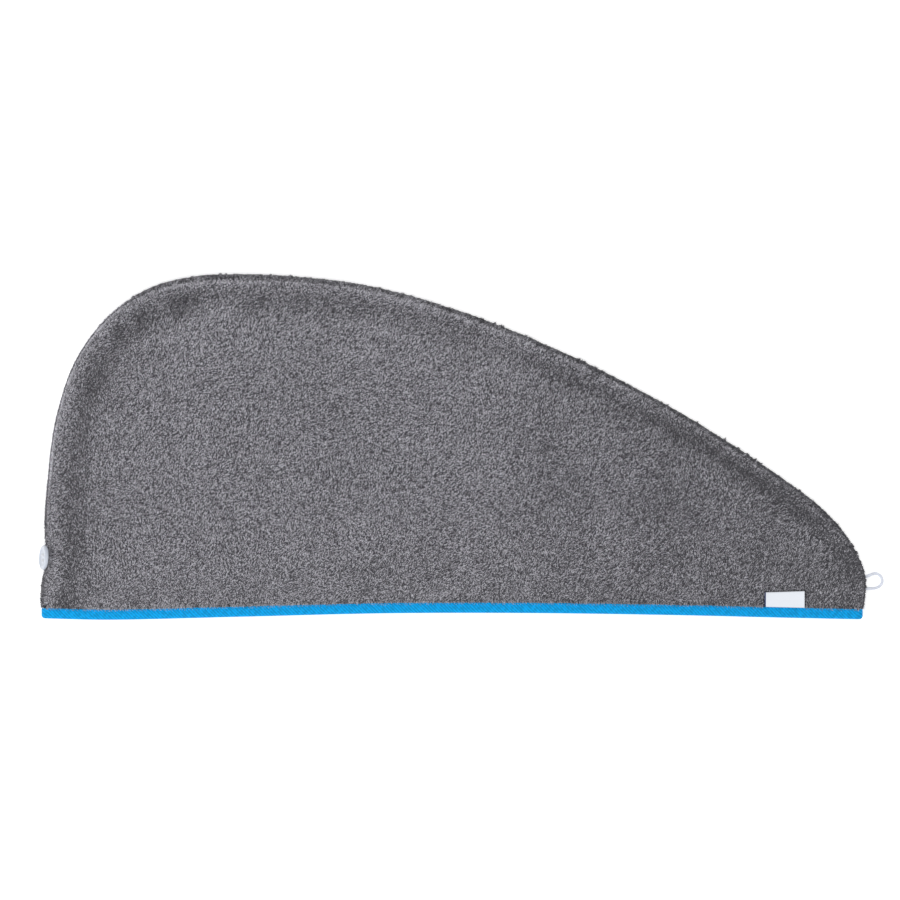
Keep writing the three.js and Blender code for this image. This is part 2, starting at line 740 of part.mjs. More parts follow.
const terry = new THREE.MeshStandardMaterial({ color: 0x77767c, roughness: 0.95, metalness: 0 });
const tapeBlue = new THREE.MeshStandardMaterial({ color: 0x109adf, roughness: 0.8, metalness: 0 });
const whitePlastic = new THREE.MeshStandardMaterial({ color: 0xd3d9e6, roughness: 0.35, metalness: 0 });
const whiteThread = new THREE.MeshStandardMaterial({ color: 0xe6e8ee, roughness: 0.9, metalness: 0 });
const labelWhite = new THREE.MeshStandardMaterial({ color: 0xe9edf6, roughness: 0.8, metalness: 0 });
const elasticWhite = new THREE.MeshStandardMaterial({ color: 0xdde1ec, roughness: 0.75, metalness: 0 });

const hood = new THREE.Group();

function add(parent, name, geometry, material) {
  const mesh = new THREE.Mesh(geometry, material);
  mesh.name = name;
  parent.add(mesh);
  return mesh;
}

add(hood, 'front_panel', frontPanel(), terry);
add(hood, 'back_panel', backPanel(), terry);
add(hood, 'edge_binding', edgeBinding(), tapeBlue);
add(hood, 'label', foldedLabel(), labelWhite);

const seat = buttonPlace();
const buttonGroup = new THREE.Group();
buttonGroup.position.copy(seat.origin);
buttonGroup.quaternion.setFromUnitVectors(new THREE.Vector3(0, 0, 1), seat.axis);
add(buttonGroup, 'button', buttonDisc(), whitePlastic);
add(buttonGroup, 'button_thread', buttonThread(seat.drop), whiteThread);
hood.add(buttonGroup);

// The origin is under the middle of the towel, not counting the loop, on the table
const box = new THREE.Box3().setFromObject(hood, true);
const middle = box.getCenter(new THREE.Vector3());
add(hood, 'elastic_loop', elasticLoop(), elasticWhite);
hood.position.set(-middle.x, -middle.y, -box.min.z);

export default hood;
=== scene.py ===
"""The looks of a hair turban towel that lies on its side, and the studio round it.

Every length in the settings is in millimetres, and the meshes are made in metres in the part's frame.
+X runs along the mouth from the wide end to the tail, +Y from the mouth to the curved seam, +Z up.
"""

import json
import math

import bpy
import numpy as np
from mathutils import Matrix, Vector, noise

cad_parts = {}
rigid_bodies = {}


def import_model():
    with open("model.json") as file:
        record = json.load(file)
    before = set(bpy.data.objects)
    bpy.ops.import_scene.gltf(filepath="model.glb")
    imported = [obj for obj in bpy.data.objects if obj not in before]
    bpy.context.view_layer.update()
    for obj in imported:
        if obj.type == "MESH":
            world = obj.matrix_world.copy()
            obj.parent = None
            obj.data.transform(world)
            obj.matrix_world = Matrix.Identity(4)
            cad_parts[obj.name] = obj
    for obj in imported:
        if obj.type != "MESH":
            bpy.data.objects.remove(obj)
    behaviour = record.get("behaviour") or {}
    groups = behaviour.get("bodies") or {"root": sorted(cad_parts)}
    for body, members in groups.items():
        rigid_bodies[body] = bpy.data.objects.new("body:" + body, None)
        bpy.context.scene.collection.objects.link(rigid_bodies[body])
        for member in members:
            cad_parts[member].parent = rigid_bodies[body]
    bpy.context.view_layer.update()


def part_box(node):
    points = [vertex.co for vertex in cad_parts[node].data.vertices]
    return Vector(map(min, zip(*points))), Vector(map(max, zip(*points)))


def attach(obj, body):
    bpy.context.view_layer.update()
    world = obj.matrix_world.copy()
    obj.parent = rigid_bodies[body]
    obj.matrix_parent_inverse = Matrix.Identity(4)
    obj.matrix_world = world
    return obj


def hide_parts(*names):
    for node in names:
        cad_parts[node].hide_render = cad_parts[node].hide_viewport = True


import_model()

bl_info = {
    "name": "Hair Turban Towel",
    "version": (1, 0, 0),
    "blender": (4, 5, 0),
    "location": "3D View > Sidebar > Towel",
    "description": "Builds the cloth, pile, tape, button, label, loop and studio of a hair turban towel",
    "category": "Object",
}

MM = 0.001

# The curved edge, from the corner at the wide end, over the dome and down to the tail.
# across and up are shares of the hood's length and depth, rim of its rim height and roll of its seam roll.
SEAM = [
    {"across": 0.0000, "up": 0.0290, "rim": 0.86, "roll": 0.60},
    {"across": 0.0000, "up": 0.0850, "rim": 0.92, "roll": 0.56},
    {"across": 0.0036, "up": 0.2430, "rim": 1.00, "roll": 0.30},
    {"across": 0.0085, "up": 0.4020, "rim": 1.00, "roll": 0.24},
    {"across": 0.0182, "up": 0.5750, "rim": 1.00, "roll": 0.18},
    {"across": 0.0424, "up": 0.7486, "rim": 0.98, "roll": 0.16},
    {"across": 0.0824, "up": 0.8786, "rim": 0.96, "roll": 0.24},
    {"across": 0.1320, "up": 0.9595, "rim": 0.95, "roll": 0.64},
    {"across": 0.1880, "up": 0.9942, "rim": 0.95, "roll": 1.00},
    {"across": 0.2412, "up": 1.0000, "rim": 0.94, "roll": 1.06},
    {"across": 0.3260, "up": 0.9900, "rim": 0.93, "roll": 0.95},
    {"across": 0.4170, "up": 0.9566, "rim": 0.90, "roll": 0.80},
    {"across": 0.5380, "up": 0.8680, "rim": 0.86, "roll": 0.70},
    {"across": 0.6590, "up": 0.7450, "rim": 0.82, "roll": 0.66},
    {"across": 0.7810, "up": 0.5910, "rim": 0.78, "roll": 0.60},
    {"across": 0.9020, "up": 0.4046, "rim": 0.75, "roll": 0.40},
    {"across": 0.9515, "up": 0.3120, "rim": 0.74, "roll": 0.26},
    {"across": 0.9809, "up": 0.2280, "rim": 0.74, "roll": 0.20},
    {"across": 0.9984, "up": 0.1416, "rim": 0.75, "roll": 0.18},
    {"across": 1.0004, "up": 0.1010, "rim": 0.77, "roll": 0.20},
    {"across": 0.9980, "up": 0.0290, "rim": 0.82, "roll": 0.26},
]

# The outer edge of the tape. open is the lift of its upper run, as a share of the mouth's opening.
MOUTH = [
    {"across": 0.0010, "up": 0.0040, "open": 0.00},
    {"across": 0.0800, "up": 0.0000, "open": 0.28},
    {"across": 0.2400, "up": 0.0087, "open": 0.82},
    {"across": 0.4200, "up": 0.0190, "open": 1.00},
    {"across": 0.6000, "up": 0.0195, "open": 0.92},
    {"across": 0.7800, "up": 0.0130, "open": 0.60},
    {"across": 0.9000, "up": 0.0060, "open": 0.24},
    {"across": 0.9970, "up": 0.0010, "open": 0.00},
]

# The height of the front panel along the hood, as a share of the loft
LOFT = [
    {"across": 0.00, "height": 0.84},
    {"across": 0.12, "height": 0.96},
    {"across": 0.30, "height": 1.00},
    {"across": 0.50, "height": 0.96},
    {"across": 0.70, "height": 0.82},
    {"across": 0.85, "height": 0.66},
    {"across": 1.00, "height": 0.52},
]

# Soft folds of the front panel. turn is in degrees from +X; rise is a share of the fold's height.
# across, long and wide are shares of the hood's length and up of its depth.
FOLDS = [
    {"across": 0.200, "up": 0.900, "turn": 80, "long": 0.040, "wide": 0.022, "rise": 0.9},
    {"across": 0.155, "up": 0.870, "turn": 35, "long": 0.045, "wide": 0.018, "rise": -0.8},
    {"across": 0.290, "up": 0.895, "turn": -4, "long": 0.070, "wide": 0.016, "rise": -0.8},
    {"across": 0.335, "up": 0.640, "turn": -52, "long": 0.060, "wide": 0.020, "rise": -0.7},
    {"across": 0.300, "up": 0.720, "turn": -60, "long": 0.060, "wide": 0.024, "rise": 0.5},
    {"across": 0.420, "up": 0.150, "turn": 8, "long": 0.090, "wide": 0.034, "rise": -0.6},
    {"across": 0.550, "up": 0.500, "turn": 82, "long": 0.090, "wide": 0.026, "rise": 0.6},
    {"across": 0.615, "up": 0.380, "turn": 96, "long": 0.080, "wide": 0.024, "rise": -0.6},
    {"across": 0.680, "up": 0.340, "turn": 84, "long": 0.080, "wide": 0.024, "rise": 0.6},
    {"across": 0.760, "up": 0.300, "turn": 102, "long": 0.060, "wide": 0.022, "rise": -0.6},
    {"across": 0.835, "up": 0.240, "turn": 80, "long": 0.050, "wide": 0.020, "rise": 0.5},
    {"across": 0.093, "up": 0.832, "turn": 90, "long": 0.014, "wide": 0.006, "rise": -0.8},
    {"across": 0.120, "up": 0.872, "turn": 85, "long": 0.017, "wide": 0.007, "rise": -1.0},
    {"across": 0.177, "up": 0.920, "turn": 27, "long": 0.026, "wide": 0.010, "rise": -1.0},
    {"across": 0.259, "up": 0.903, "turn": 28, "long": 0.024, "wide": 0.010, "rise": -0.9},
    {"across": 0.344, "up": 0.899, "turn": 0, "long": 0.013, "wide": 0.009, "rise": -0.7},
    {"across": 0.385, "up": 0.899, "turn": -5, "long": 0.018, "wide": 0.008, "rise": -0.8},
    {"across": 0.457, "up": 0.866, "turn": -14, "long": 0.026, "wide": 0.009, "rise": -0.5},
]

# Patches of painted shade and painted light, where the pile's tone is made darker or lighter, in the columns
# of the folds
PAINTED_SHADE_PATCHES = [
    {"across": 0.959, "up": 0.296, "turn": -55, "long": 0.034, "wide": 0.017, "shade": -0.22},
    {"across": 0.988, "up": 0.165, "turn": -72, "long": 0.034, "wide": 0.013, "shade": -0.24},
    {"across": 0.892, "up": 0.386, "turn": -38, "long": 0.050, "wide": 0.020, "shade": -0.15},
    {"across": 0.870, "up": 0.215, "turn": 60, "long": 0.040, "wide": 0.020, "shade": -0.07},
    {"across": 0.920, "up": 0.150, "turn": 20, "long": 0.025, "wide": 0.018, "shade": -0.08},
    {"across": 0.184, "up": 0.916, "turn": 12, "long": 0.032, "wide": 0.012, "shade": -0.26},
    {"across": 0.120, "up": 0.868, "turn": 75, "long": 0.024, "wide": 0.012, "shade": -0.10},
    {"across": 0.093, "up": 0.835, "turn": 75, "long": 0.024, "wide": 0.010, "shade": -0.14},
    {"across": 0.340, "up": 0.955, "turn": -8, "long": 0.060, "wide": 0.010, "shade": -0.12},
    {"across": 0.789, "up": 0.090, "turn": 30, "long": 0.040, "wide": 0.030, "shade": 0.07},
    {"across": 0.705, "up": 0.640, "turn": -35, "long": 0.050, "wide": 0.012, "shade": 0.12},
    {"across": 0.474, "up": 0.220, "turn": 10, "long": 0.050, "wide": 0.030, "shade": 0.05},
    {"across": 0.375, "up": 0.235, "turn": 10, "long": 0.060, "wide": 0.030, "shade": 0.05},
    {"across": 0.290, "up": 0.430, "turn": 45, "long": 0.050, "wide": 0.030, "shade": 0.05},
    {"across": 0.200, "up": 0.670, "turn": 60, "long": 0.050, "wide": 0.030, "shade": 0.04},
    {"across": 0.062, "up": 0.660, "turn": 82, "long": 0.050, "wide": 0.020, "shade": -0.10},
    {"across": 0.048, "up": 0.340, "turn": 90, "long": 0.050, "wide": 0.020, "shade": -0.08},
    {"across": 0.050, "up": 0.130, "turn": 80, "long": 0.035, "wide": 0.022, "shade": -0.08},
    {"across": 0.520, "up": 0.435, "turn": 60, "long": 0.060, "wide": 0.030, "shade": -0.05},
    {"across": 0.545, "up": 0.080, "turn": 10, "long": 0.040, "wide": 0.016, "shade": -0.07},
    {"across": 0.665, "up": 0.320, "turn": 80, "long": 0.050, "wide": 0.022, "shade": -0.05},
]

# How light the tufts are. Each value but the first is what one effect adds to the shade or takes from it: the
# clouds vary at random, dip, dip_left, roll, groove and tail take painted shade off, band and band_left add
# painted light, and folds adds painted light on rises and painted shade in dents.
TONE = {
    "even": 0.672,
    "small_clouds": 0.04,
    "large_clouds": 0.045,
    "dip": 0.22,
    "dip_left": 0.27,
    "folds": 0.16,
    "tail": 0.27,
    "roll": 0.34,
    "groove": 0.42,
    "band": 0.10,
    "band_left": 0.08,
}

# The area lights, aimed at the middle of the towel. The studio's settings hold their power.
LIGHTS = [
    {"name": "key", "size": 1.5, "place": (-1.4, -1.5, 1.7)},
    {"name": "fill", "size": 2.5, "place": (0.3, 0.4, 3.2)},
]

# The elastic loop. out and along are shares of its spread, and lift of the seam's own height.
LOOP = [
    {"out": -0.20, "along": 0.00, "lift": 1.00},
    {"out": 0.00, "along": 0.00, "lift": 1.00},
    {"out": 0.24, "along": -0.05, "lift": 0.93},
    {"out": 0.50, "along": -0.12, "lift": 0.62},
    {"out": 0.80, "along": -0.16, "lift": 0.30},
    {"out": 1.08, "along": -0.03, "lift": 0.06},
    {"out": 1.27, "along": 0.20, "lift": 0.00},
    {"out": 1.32, "along": 0.48, "lift": 0.00},
    {"out": 1.24, "along": 0.76, "lift": 0.00},
    {"out": 1.00, "along": 0.98, "lift": 0.06},
    {"out": 0.70, "along": 1.06, "lift": 0.30},
    {"out": 0.42, "along": 1.06, "lift": 0.62},
    {"out": 0.20, "along": 1.03, "lift": 0.93},
    {"out": 0.00, "along": 1.00, "lift": 1.00},
    {"out": -0.20, "along": 1.00, "lift": 1.00},
]


def length(name, value, text):
    return bpy.props.FloatProperty(name=name, default=value, min=0.0, description=text)


def tufts(name, value, text):
    return bpy.props.IntProperty(name=name, default=value, min=1, description=text)


def degrees(name, value, text):
    return bpy.props.FloatProperty(name=name, default=math.radians(value), subtype="ANGLE", description=text)


def share_of(name, value, text):
    return bpy.props.FloatProperty(name=name, default=value, min=0.0, subtype="FACTOR", description=text)


def metres(name, value, text):
    return bpy.props.FloatProperty(name=name, default=value, unit="LENGTH", description=text)


def watts(name, value, text):
    return bpy.props.FloatProperty(name=name, default=value, min=0.0, unit="POWER", description=text)


def colour(name, value, text):
    return bpy.props.FloatVectorProperty(
        name=name, default=value, size=3, min=0.0, max=1.0, subtype="COLOR", description=text
    )


class TowelHood(bpy.types.PropertyGroup):
    """Sizes of the hood, in millimetres."""

    long: length("Length", 640.0, "From the wide end to the tail")
    deep: length("Depth", 268.0, "From the mouth to the curved seam")
    cloth: length("Cloth", 3.0, "Thickness of a panel")
    cloth_edge: length("Cloth in the tape", 2.0, "Thickness of a panel where the tape grips it")
    seam_gap: length("Seam gap", 0.3, "Between the panels at the seam")
    rim_height: length("Rim height", 13.0, "Height of the sewn edge")
    rim_width: length("Rim width", 6.5, "How far the sewn edge rounds in")
    seam_roll: length("Seam roll", 5.0, "How far the seam has rolled onto the front")
    allowance: length("Allowance", 10.0, "Width of the cloth that is turned in at the seam")
    loft: length("Loft", 22.0, "Height of the hood over the table")
    valley_at: length("Valley place", 17.0, "From the edge to the dip inside the seam")
    valley_width: length("Valley width", 7.0, "Half the width of that dip")
    valley_depth: length("Valley depth", 2.6, "Depth of that dip")
    rise_run: length("Rise", 46.0, "Run over which the cloth rises to its full loft")
    fold_rise: length("Folds", 1.8, "Height of the soft folds")
    crease_depth: length("Crease depth", 0.9, "Depth of the groove along the seam")
    crease_width: length("Crease width", 1.3, "Half the width of the groove along the seam")
    wave: length("Waves", 0.5, "Height of the small waves in the cloth")
    wave_run: length("Wave length", 26.0, "Length of the small waves in the cloth")
    skin: length("Pile base", 0.9, "How far the woven base lies under the tips of the pile")


class TowelPile(bpy.types.PropertyGroup):
    """Sizes of the pile, in millimetres."""

    front: tufts("Front tufts", 288000, "Tufts on the front panel")
    back: tufts("Back tufts", 60000, "Tufts on the back panel")
    inside: tufts("Inner tufts", 7000, "Tufts in each panel's mouth")
    lip: tufts("Lip tufts", 3600, "Tufts that lean over the tape")
    seam: tufts("Seam tufts", 9000, "Tufts that lean over the seam")
    rim: tufts("Rim tufts", 19000, "Tufts on the side of the sewn edge")
    contrast: share_of("Contrast", 1.25, "How much the tufts differ in shade")
    long: length("Tuft length", 1.9, "Length of one tuft of the pile")
    wide: length("Tuft width", 0.75, "Width of one tuft of the pile")
    depth: length("Inner reach", 75.0, "How far inside the mouth the pile is modelled")
    turn: degrees("Nap", 52, "Way that the pile lies, from +X")
    stray: degrees("Stray", 17, "Spread of that way")
    stand: degrees("Stand", 21, "How far the tufts stand up")


class TowelTape(bpy.types.PropertyGroup):
    """Sizes of the binding tape, in millimetres."""

    wide: length("Width", 8.0, "Width of the folded tape")
    thick: length("Thickness", 5.2, "Thickness of the tape over the cloth")
    wall: length("Wall", 1.25, "Thickness of one side of the tape")
    gap: length("Corner gap", 0.6, "Between the two runs at each corner")
    clear: length("Slot clearance", 0.35, "Between the cloth's edge and the fold of the tape")
    opening: length("Opening", 9.0, "Lift of the upper run in the middle of the mouth")
    lip_run: length("Lip", 30.0, "Run over which the cloth leaves the height of the tape")
    twill: length("Twill", 1.9, "Distance between the diagonal lines of the weave")
    stitch: length("Stitch", 2.6, "Length of a stitch")
    stitch_gap: length("Stitch gap", 0.8, "Between two stitches")
    thread: length("Thread", 0.35, "Thickness of the sewing thread")
    hem: length("Hem", 1.6, "From the tape's inner edge to its stitches")


class TowelButton(bpy.types.PropertyGroup):
    """Sizes of the button and its thread, in millimetres."""

    across: length("Diameter", 19.0, "Diameter of the button")
    thick: length("Thickness", 3.0, "Thickness of the button's rim")
    dish: length("Dish", 0.8, "Depth of the button's face inside its rim")
    rim: length("Rim", 2.6, "Width of the button's rim")
    hole: length("Hole", 2.0, "Diameter of a hole")
    pitch: length("Pitch", 4.2, "Distance between two holes")
    sink: length("Sink", 3.3, "How far the thread pulls the seam in")
    sink_reach: length("Sink reach", 16.0, "Length of seam that is pulled in")
    lean: degrees("Lean", 72, "How far the button leans outwards")
    shank: length("Shank", 1.2, "Thread between the button and the seam")
    strand: length("Strand", 0.55, "Thickness of one strand of the thread")
    stand_off: length("Clearance", 0.3, "Between the button and the table")
    along: share_of("Place", 0.0435, "Place along the seam")


class TowelLabel(bpy.types.PropertyGroup):
    """Sizes of the label, in millimetres."""

    wide: length("Width", 31.0, "Width of the label")
    high: length("Height", 12.5, "Height of the label over the tape")
    fold: length("Fold", 1.9, "Thickness of the folded label")
    ribbon: length("Ribbon", 0.45, "Thickness of the ribbon")
    across: share_of("Place", 0.8776, "Place along the hood")
    skew: length("Skew", 1.6, "How much lower its left end is")
    edge: length("Dark edge", 1.0, "Width of the dark woven edge at its left end")
    clear: length("Clearance", 0.35, "Between the label and the cloth under it")


class TowelLoop(bpy.types.PropertyGroup):
    """Sizes of the elastic loop, in millimetres."""

    cord: length("Cord", 2.3, "Diameter of the cord")
    spread: length("Spread", 9.3, "Distance between the two ends at the seam")
    along: share_of("Place", 0.9725, "Place along the seam")
    stand_off: length("Stand-off", 0.7, "Between the seam and the start of the free cord")


class TowelColours(bpy.types.PropertyGroup):
    """Colours, as the surfaces are in white light; the pile's dark and light colours are the ends of its
    painted shade and painted light.
    """

    pile_light: colour("Pile, light", (0.650, 0.640, 0.695), "Lit tips of the pile")
    # The pile's dark colour is its painted shade, at the roots and in the darkened places
    pile_dark: colour("Pile, dark", (0.050, 0.049, 0.056), "Roots of the pile")
    # The ground's grey is darkened as painted shade for the gaps between the tufts
    ground: colour("Ground weave", (0.095, 0.093, 0.105), "The woven base under the pile")
    tape: colour("Tape", (0.001, 0.380, 0.850), "The binding tape")
    button: colour("Button", (0.580, 0.620, 0.700), "The button")
    thread: colour("Thread", (0.800, 0.820, 0.860), "The thread on the button")
    label: colour("Label", (0.880, 0.915, 0.985), "The label's ribbon")
    label_edge: colour("Label edge", (0.020, 0.035, 0.120), "The dark woven edge of the label")
    elastic: colour("Elastic", (0.800, 0.835, 0.925), "The elastic loop")
    floor: colour("Floor", (0.930, 0.930, 0.930), "The floor")


class TowelStudio(bpy.types.PropertyGroup):
    """The camera and the lights."""

    height: metres("Camera height", 8.0, "Height of the camera over the table")
    frame_width: metres("Picture width", 0.69914, "Width of table that the picture shows")
    shift_x: metres("Aim along", -0.0015, "Where the camera aims along X")
    shift_y: metres("Aim across", -0.0023, "Where the camera aims along Y")
    floor: metres("Floor", 8.0, "Side of the square floor")
    glow: share_of("Floor glow", 0.46, "How strongly the floor is lit from below")
    key: watts("Key light", 28.0, "Light from the lower left")
    fill: watts("Fill light", 35.0, "Light from above")
    sky: share_of("Surround", 0.55, "Even light from all round")


def smooth(x):
    x = np.clip(x, 0.0, 1.0)
    return x * x * (3.0 - 2.0 * x)


def bell(x):
    return np.exp(-x * x)


def mix(a, b, t):
    return a + (b - a) * t


def run_along(points):
    """The distance along a row of points, from the first of them."""
    return np.concatenate([[0], np.cumsum(np.linalg.norm(np.diff(points, axis=0), axis=1))])


def curve_through(points, per_step=60):
    """A centripetal spline through the points, as even steps between each pair of them."""
    p = np.asarray(points, float)
    p = np.vstack([2 * p[0] - p[1], p, 2 * p[-1] - p[-2]])
    dt = np.maximum((np.diff(p, axis=0) ** 2).sum(1) ** 0.25, 1e-4)
    w = np.linspace(0, 1, per_step, endpoint=False)[:, None]
    out = []
    for i in range(1, len(p) - 2):
        a, b = p[i], p[i + 1]
        t1 = (a - p[i - 1]) / dt[i - 1] - (b - p[i - 1]) / (dt[i - 1] + dt[i]) + (b - a) / dt[i]
        t2 = (b - a) / dt[i] - (p[i + 2] - a) / (dt[i] + dt[i + 1]) + (p[i + 2] - b) / dt[i + 1]
        t1 = t1 * dt[i]
        t2 = t2 * dt[i]
        out.append(a + t1 * w + (3 * (b - a) - 2 * t1 - t2) * w**2 + (2 * (a - b) + t1 + t2) * w**3)
    out.append(p[-2][None])
    return np.vstack(out)


class Hood:
    """The hood's form in millimetres, with the mouth's left end at zero, as the part's source has it."""

    tongue_side = 0.6
    slot_play = 0.4

    def __init__(self, scene):
        self.s = scene.towel_hood
        self.tape = scene.towel_tape
        self.button = scene.towel_button
        self.pile = scene.towel_pile
        self.label = scene.towel_label
        s, tape = self.s, self.tape
        self.lower_run = tape.thick / 2
        self.corner_run = tape.thick * 1.5 + tape.gap
        self.corner_mid = (self.lower_run + self.corner_run) / 2
        self.turn_radius = (self.corner_run - self.lower_run) / 2
        self.grip_end = tape.wide + s.seam_gap
        self.tongue = self.grip_end - tape.wall - tape.clear - self.slot_play
        plan = curve_through([(r["across"] * s.long, r["up"] * s.deep) for r in SEAM])
        form = curve_through([(r["rim"] * s.rim_height / 2, r["roll"] * s.seam_roll) for r in SEAM])
        run = run_along(plan)
        self.seam_length = run[-1]
        self.seam_table = (run / run[-1], plan, form)
        self.mouth = curve_through(
            [(r["across"] * s.long, r["up"] * s.deep, r["open"] * tape.opening) for r in MOUTH]
        )
        self.loft = curve_through([(r["across"] * s.long, r["height"] * s.loft) for r in LOFT])
        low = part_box("edge_binding")[0] / MM
        self.origin = np.array([low.x - self.mouth[0, 0], low.y - self.mouth[:, 1].min(), low.z])
        self.line = self.seam_at(np.linspace(0, 1, 900))

    def seam_at(self, share):
        share = np.atleast_1d(np.asarray(share, float))
        at, plan, form = self.seam_table
        read = lambda column: np.interp(share, at, column)
        slope = np.gradient(plan, axis=0)
        tangent = np.stack([read(slope[:, 0]), read(slope[:, 1])], 1)
        tangent /= np.linalg.norm(tangent, axis=1)[:, None]
        normal = np.stack([tangent[:, 1], -tangent[:, 0]], 1)
        b = self.button
        sink = b.sink * bell((share - b.along) * self.seam_length / b.sink_reach)
        point = np.stack([read(plan[:, 0]), read(plan[:, 1])], 1) + normal * sink[:, None]
        half, roll = read(form[:, 0]), read(form[:, 1])
        return {"point": point, "tangent": tangent, "normal": normal, "half": half, "roll": roll}

    def mouth_y(self, x):
        return np.interp(x, self.mouth[:, 0], self.mouth[:, 1])

    def upper_run(self, x):
        return self.corner_run + np.interp(x, self.mouth[:, 0], self.mouth[:, 2])

    def place(self, x, y):
        """Where points are: how far from the curved edge and from the mouth, and the nearest seam's form."""
        line = self.line
        a = line["point"][:-1]
        d = line["point"][1:] - a
        dd = (d * d).sum(1)
        inside = np.empty_like(x)
        half = np.empty_like(x)
        roll = np.empty_like(x)
        for i in range(0, len(x), 4000):
            px = x[i : i + 4000, None] - a[None, :, 0]
            py = y[i : i + 4000, None] - a[None, :, 1]
            t = np.clip((px * d[:, 0] + py * d[:, 1]) / dd, 0, 1)
            away = np.hypot(px - t * d[:, 0], py - t * d[:, 1])
            near = away.argmin(1)
            rows = np.arange(len(near))
            share = t[rows, near]
            inside[i : i + 4000] = away[rows, near]
            half[i : i + 4000] = mix(line["half"][near], line["half"][near + 1], share)
            roll[i : i + 4000] = mix(line["roll"][near], line["roll"][near + 1], share)
        to_mouth = y - self.mouth_y(x)
        settle = smooth((to_mouth - self.grip_end) / self.tape.lip_run)
        mid = mix(self.corner_mid, half, settle)
        return {"x": x, "y": y, "inside": inside, "to_mouth": to_mouth, "mid": mid, "roll": roll}

    def rim_arc(self, inside):
        return np.sqrt(1 - (1 - np.minimum(inside / self.s.rim_width, 1)) ** 2)

    def sum_of(self, table, column, x, y):
        """One column of a table of long soft patches, added up at the points."""
        total = np.zeros_like(x)
        for row in table:
            turn = math.radians(row["turn"])
            dx = x - row["across"] * self.s.long
            dy = y - row["up"] * self.s.deep
            along = (dx * math.cos(turn) + dy * math.sin(turn)) / (row["long"] * self.s.long)
            over = (dy * math.cos(turn) - dx * math.sin(turn)) / (row["wide"] * self.s.long)
            total += row[column] * bell(along) * bell(over)
        return total

    def folds(self, x, y):
        return self.sum_of(FOLDS, "rise", x, y) * self.s.fold_rise

    def crest(self, p):
        s = self.s
        ridge = 2 * p["mid"]
        high = np.maximum(np.interp(p["x"], self.loft[:, 0], self.loft[:, 1]), ridge)
        rise = smooth((p["inside"] - s.valley_at * 0.7) / s.rise_run)
        valley = s.valley_depth * bell((p["inside"] - s.valley_at) / s.valley_width)
        lift = self.folds(p["x"], p["y"]) * smooth((p["inside"] - s.rim_width) / s.valley_at)
        body = mix(ridge, high, rise) - valley + lift
        lip = self.upper_run(p["x"]) + s.cloth_edge / 2
        return mix(lip, body, smooth((p["to_mouth"] - self.grip_end) / self.tape.lip_run))

    def upper_skin(self, p):
        return mix(p["mid"], self.crest(p), self.rim_arc(p["inside"]))

    def front_outer(self, p):
        s = self.s
        crease = s.crease_depth * bell((p["inside"] - p["roll"] - s.seam_gap) / s.crease_width)
        free = self.upper_skin(p) - crease
        return np.where(p["gripped"], self.upper_run(p["x"]) + s.cloth_edge / 2, free)

    def front_inner(self, p):
        s = self.s
        thick = mix(s.cloth_edge, s.cloth, smooth((p["to_mouth"] - self.grip_end) / s.cloth))
        under = self.crest(p) - thick
        plane = np.minimum(p["mid"] + s.seam_gap / 2, under)
        free = mix(plane, under, smooth((p["inside"] - s.allowance) / s.cloth))
        return np.where(p["gripped"], self.upper_run(p["x"]) - s.cloth_edge / 2, free)

    def back_raise(self, p):
        return (self.lower_run - self.s.cloth_edge / 2) * (
            1 - smooth((p["to_mouth"] - self.grip_end) / self.tape.wide)
        )

    def back_outer(self, p):
        return mix(p["mid"], self.back_raise(p), self.rim_arc(p["inside"]))

    def back_inner(self, p):
        s = self.s
        base = self.back_raise(p)
        thick = mix(s.cloth_edge, s.cloth, smooth((p["to_mouth"] - self.grip_end) / s.cloth))
        plane = p["mid"] - s.seam_gap / 2
        free = mix(plane, base + thick, smooth((p["inside"] - s.allowance) / s.cloth))
        free = np.where(p["rolled"], self.upper_skin(p), free)
        return np.where(p["gripped"], base + s.cloth_edge, free)

    def world(self, points):
        """Points of the hood in millimetres, as the part's frame has them in metres."""
        return (np.asarray(points) + self.origin) * MM


# In millimetres: how deep a tuft's root sits, how far its sides fall off on the flat cloth and at its edges,
# and how far the pile and the woven base under it stay over the table.
ROOT_SINK = 0.25
FLAT_DROP = 0.42
EDGE_DROP = 0.35
PILE_CLEARANCE = 0.1
GROUND_CLEARANCE = 0.35

# The line that the rings of each panel shrink towards, as shares of the hood's length and depth
SPINE = {"from": (0.22, 0.47), "to": (0.92, 0.16)}
RING_REACH = 0.62
SEAM_STATIONS = 420
MOUTH_STATIONS = 250


def panel_edge(hood, inset, corner_in):
    """The stations of a panel's edge, clockwise from the corner at the wide end, with the ray of each."""
    s = hood.s
    seam = hood.seam_at(np.linspace(0, 1, SEAM_STATIONS + 1))
    for end in (0, -1):
        seam["point"][end, 1] = hood.mouth_y(seam["point"][end, 0]) + hood.grip_end
    side = hood.turn_radius + hood.tape.thick / 2 + hood.tongue_side + corner_in
    left = hood.mouth[0, 0] + side
    right = hood.mouth[-1, 0] - side
    x = np.concatenate([[right + 0.4], np.linspace(right, left, MOUTH_STATIONS + 1), [left - 0.4]])
    tail = np.full(len(x), hood.tongue)
    tail[[0, -1]] = 0
    point = np.vstack([seam["point"], np.stack([x, hood.mouth_y(x) + hood.grip_end], 1)])
    normal = np.vstack([seam["normal"], np.tile([0.0, 1.0], (len(x), 1))])
    share = np.clip(point[:, 0] / s.long, 0, 1)
    start, stop = np.array(SPINE["from"]), np.array(SPINE["to"])
    target = (start + (stop - start) * share[:, None]) * [s.long, s.deep]
    ray = target - point
    reach = np.linalg.norm(ray, axis=1)
    ray /= reach[:, None]
    seam_side = np.arange(len(point)) <= SEAM_STATIONS
    return {
        "point": point,
        "ray": ray,
        "reach": reach,
        "lean": np.maximum((ray * normal).sum(1), 0.45),
        "tail": np.concatenate([np.zeros(SEAM_STATIONS + 1), tail]),
        "seam": seam_side,
        "inset": np.where(seam_side, np.concatenate([inset(seam), np.zeros(len(x))]), 0),
    }


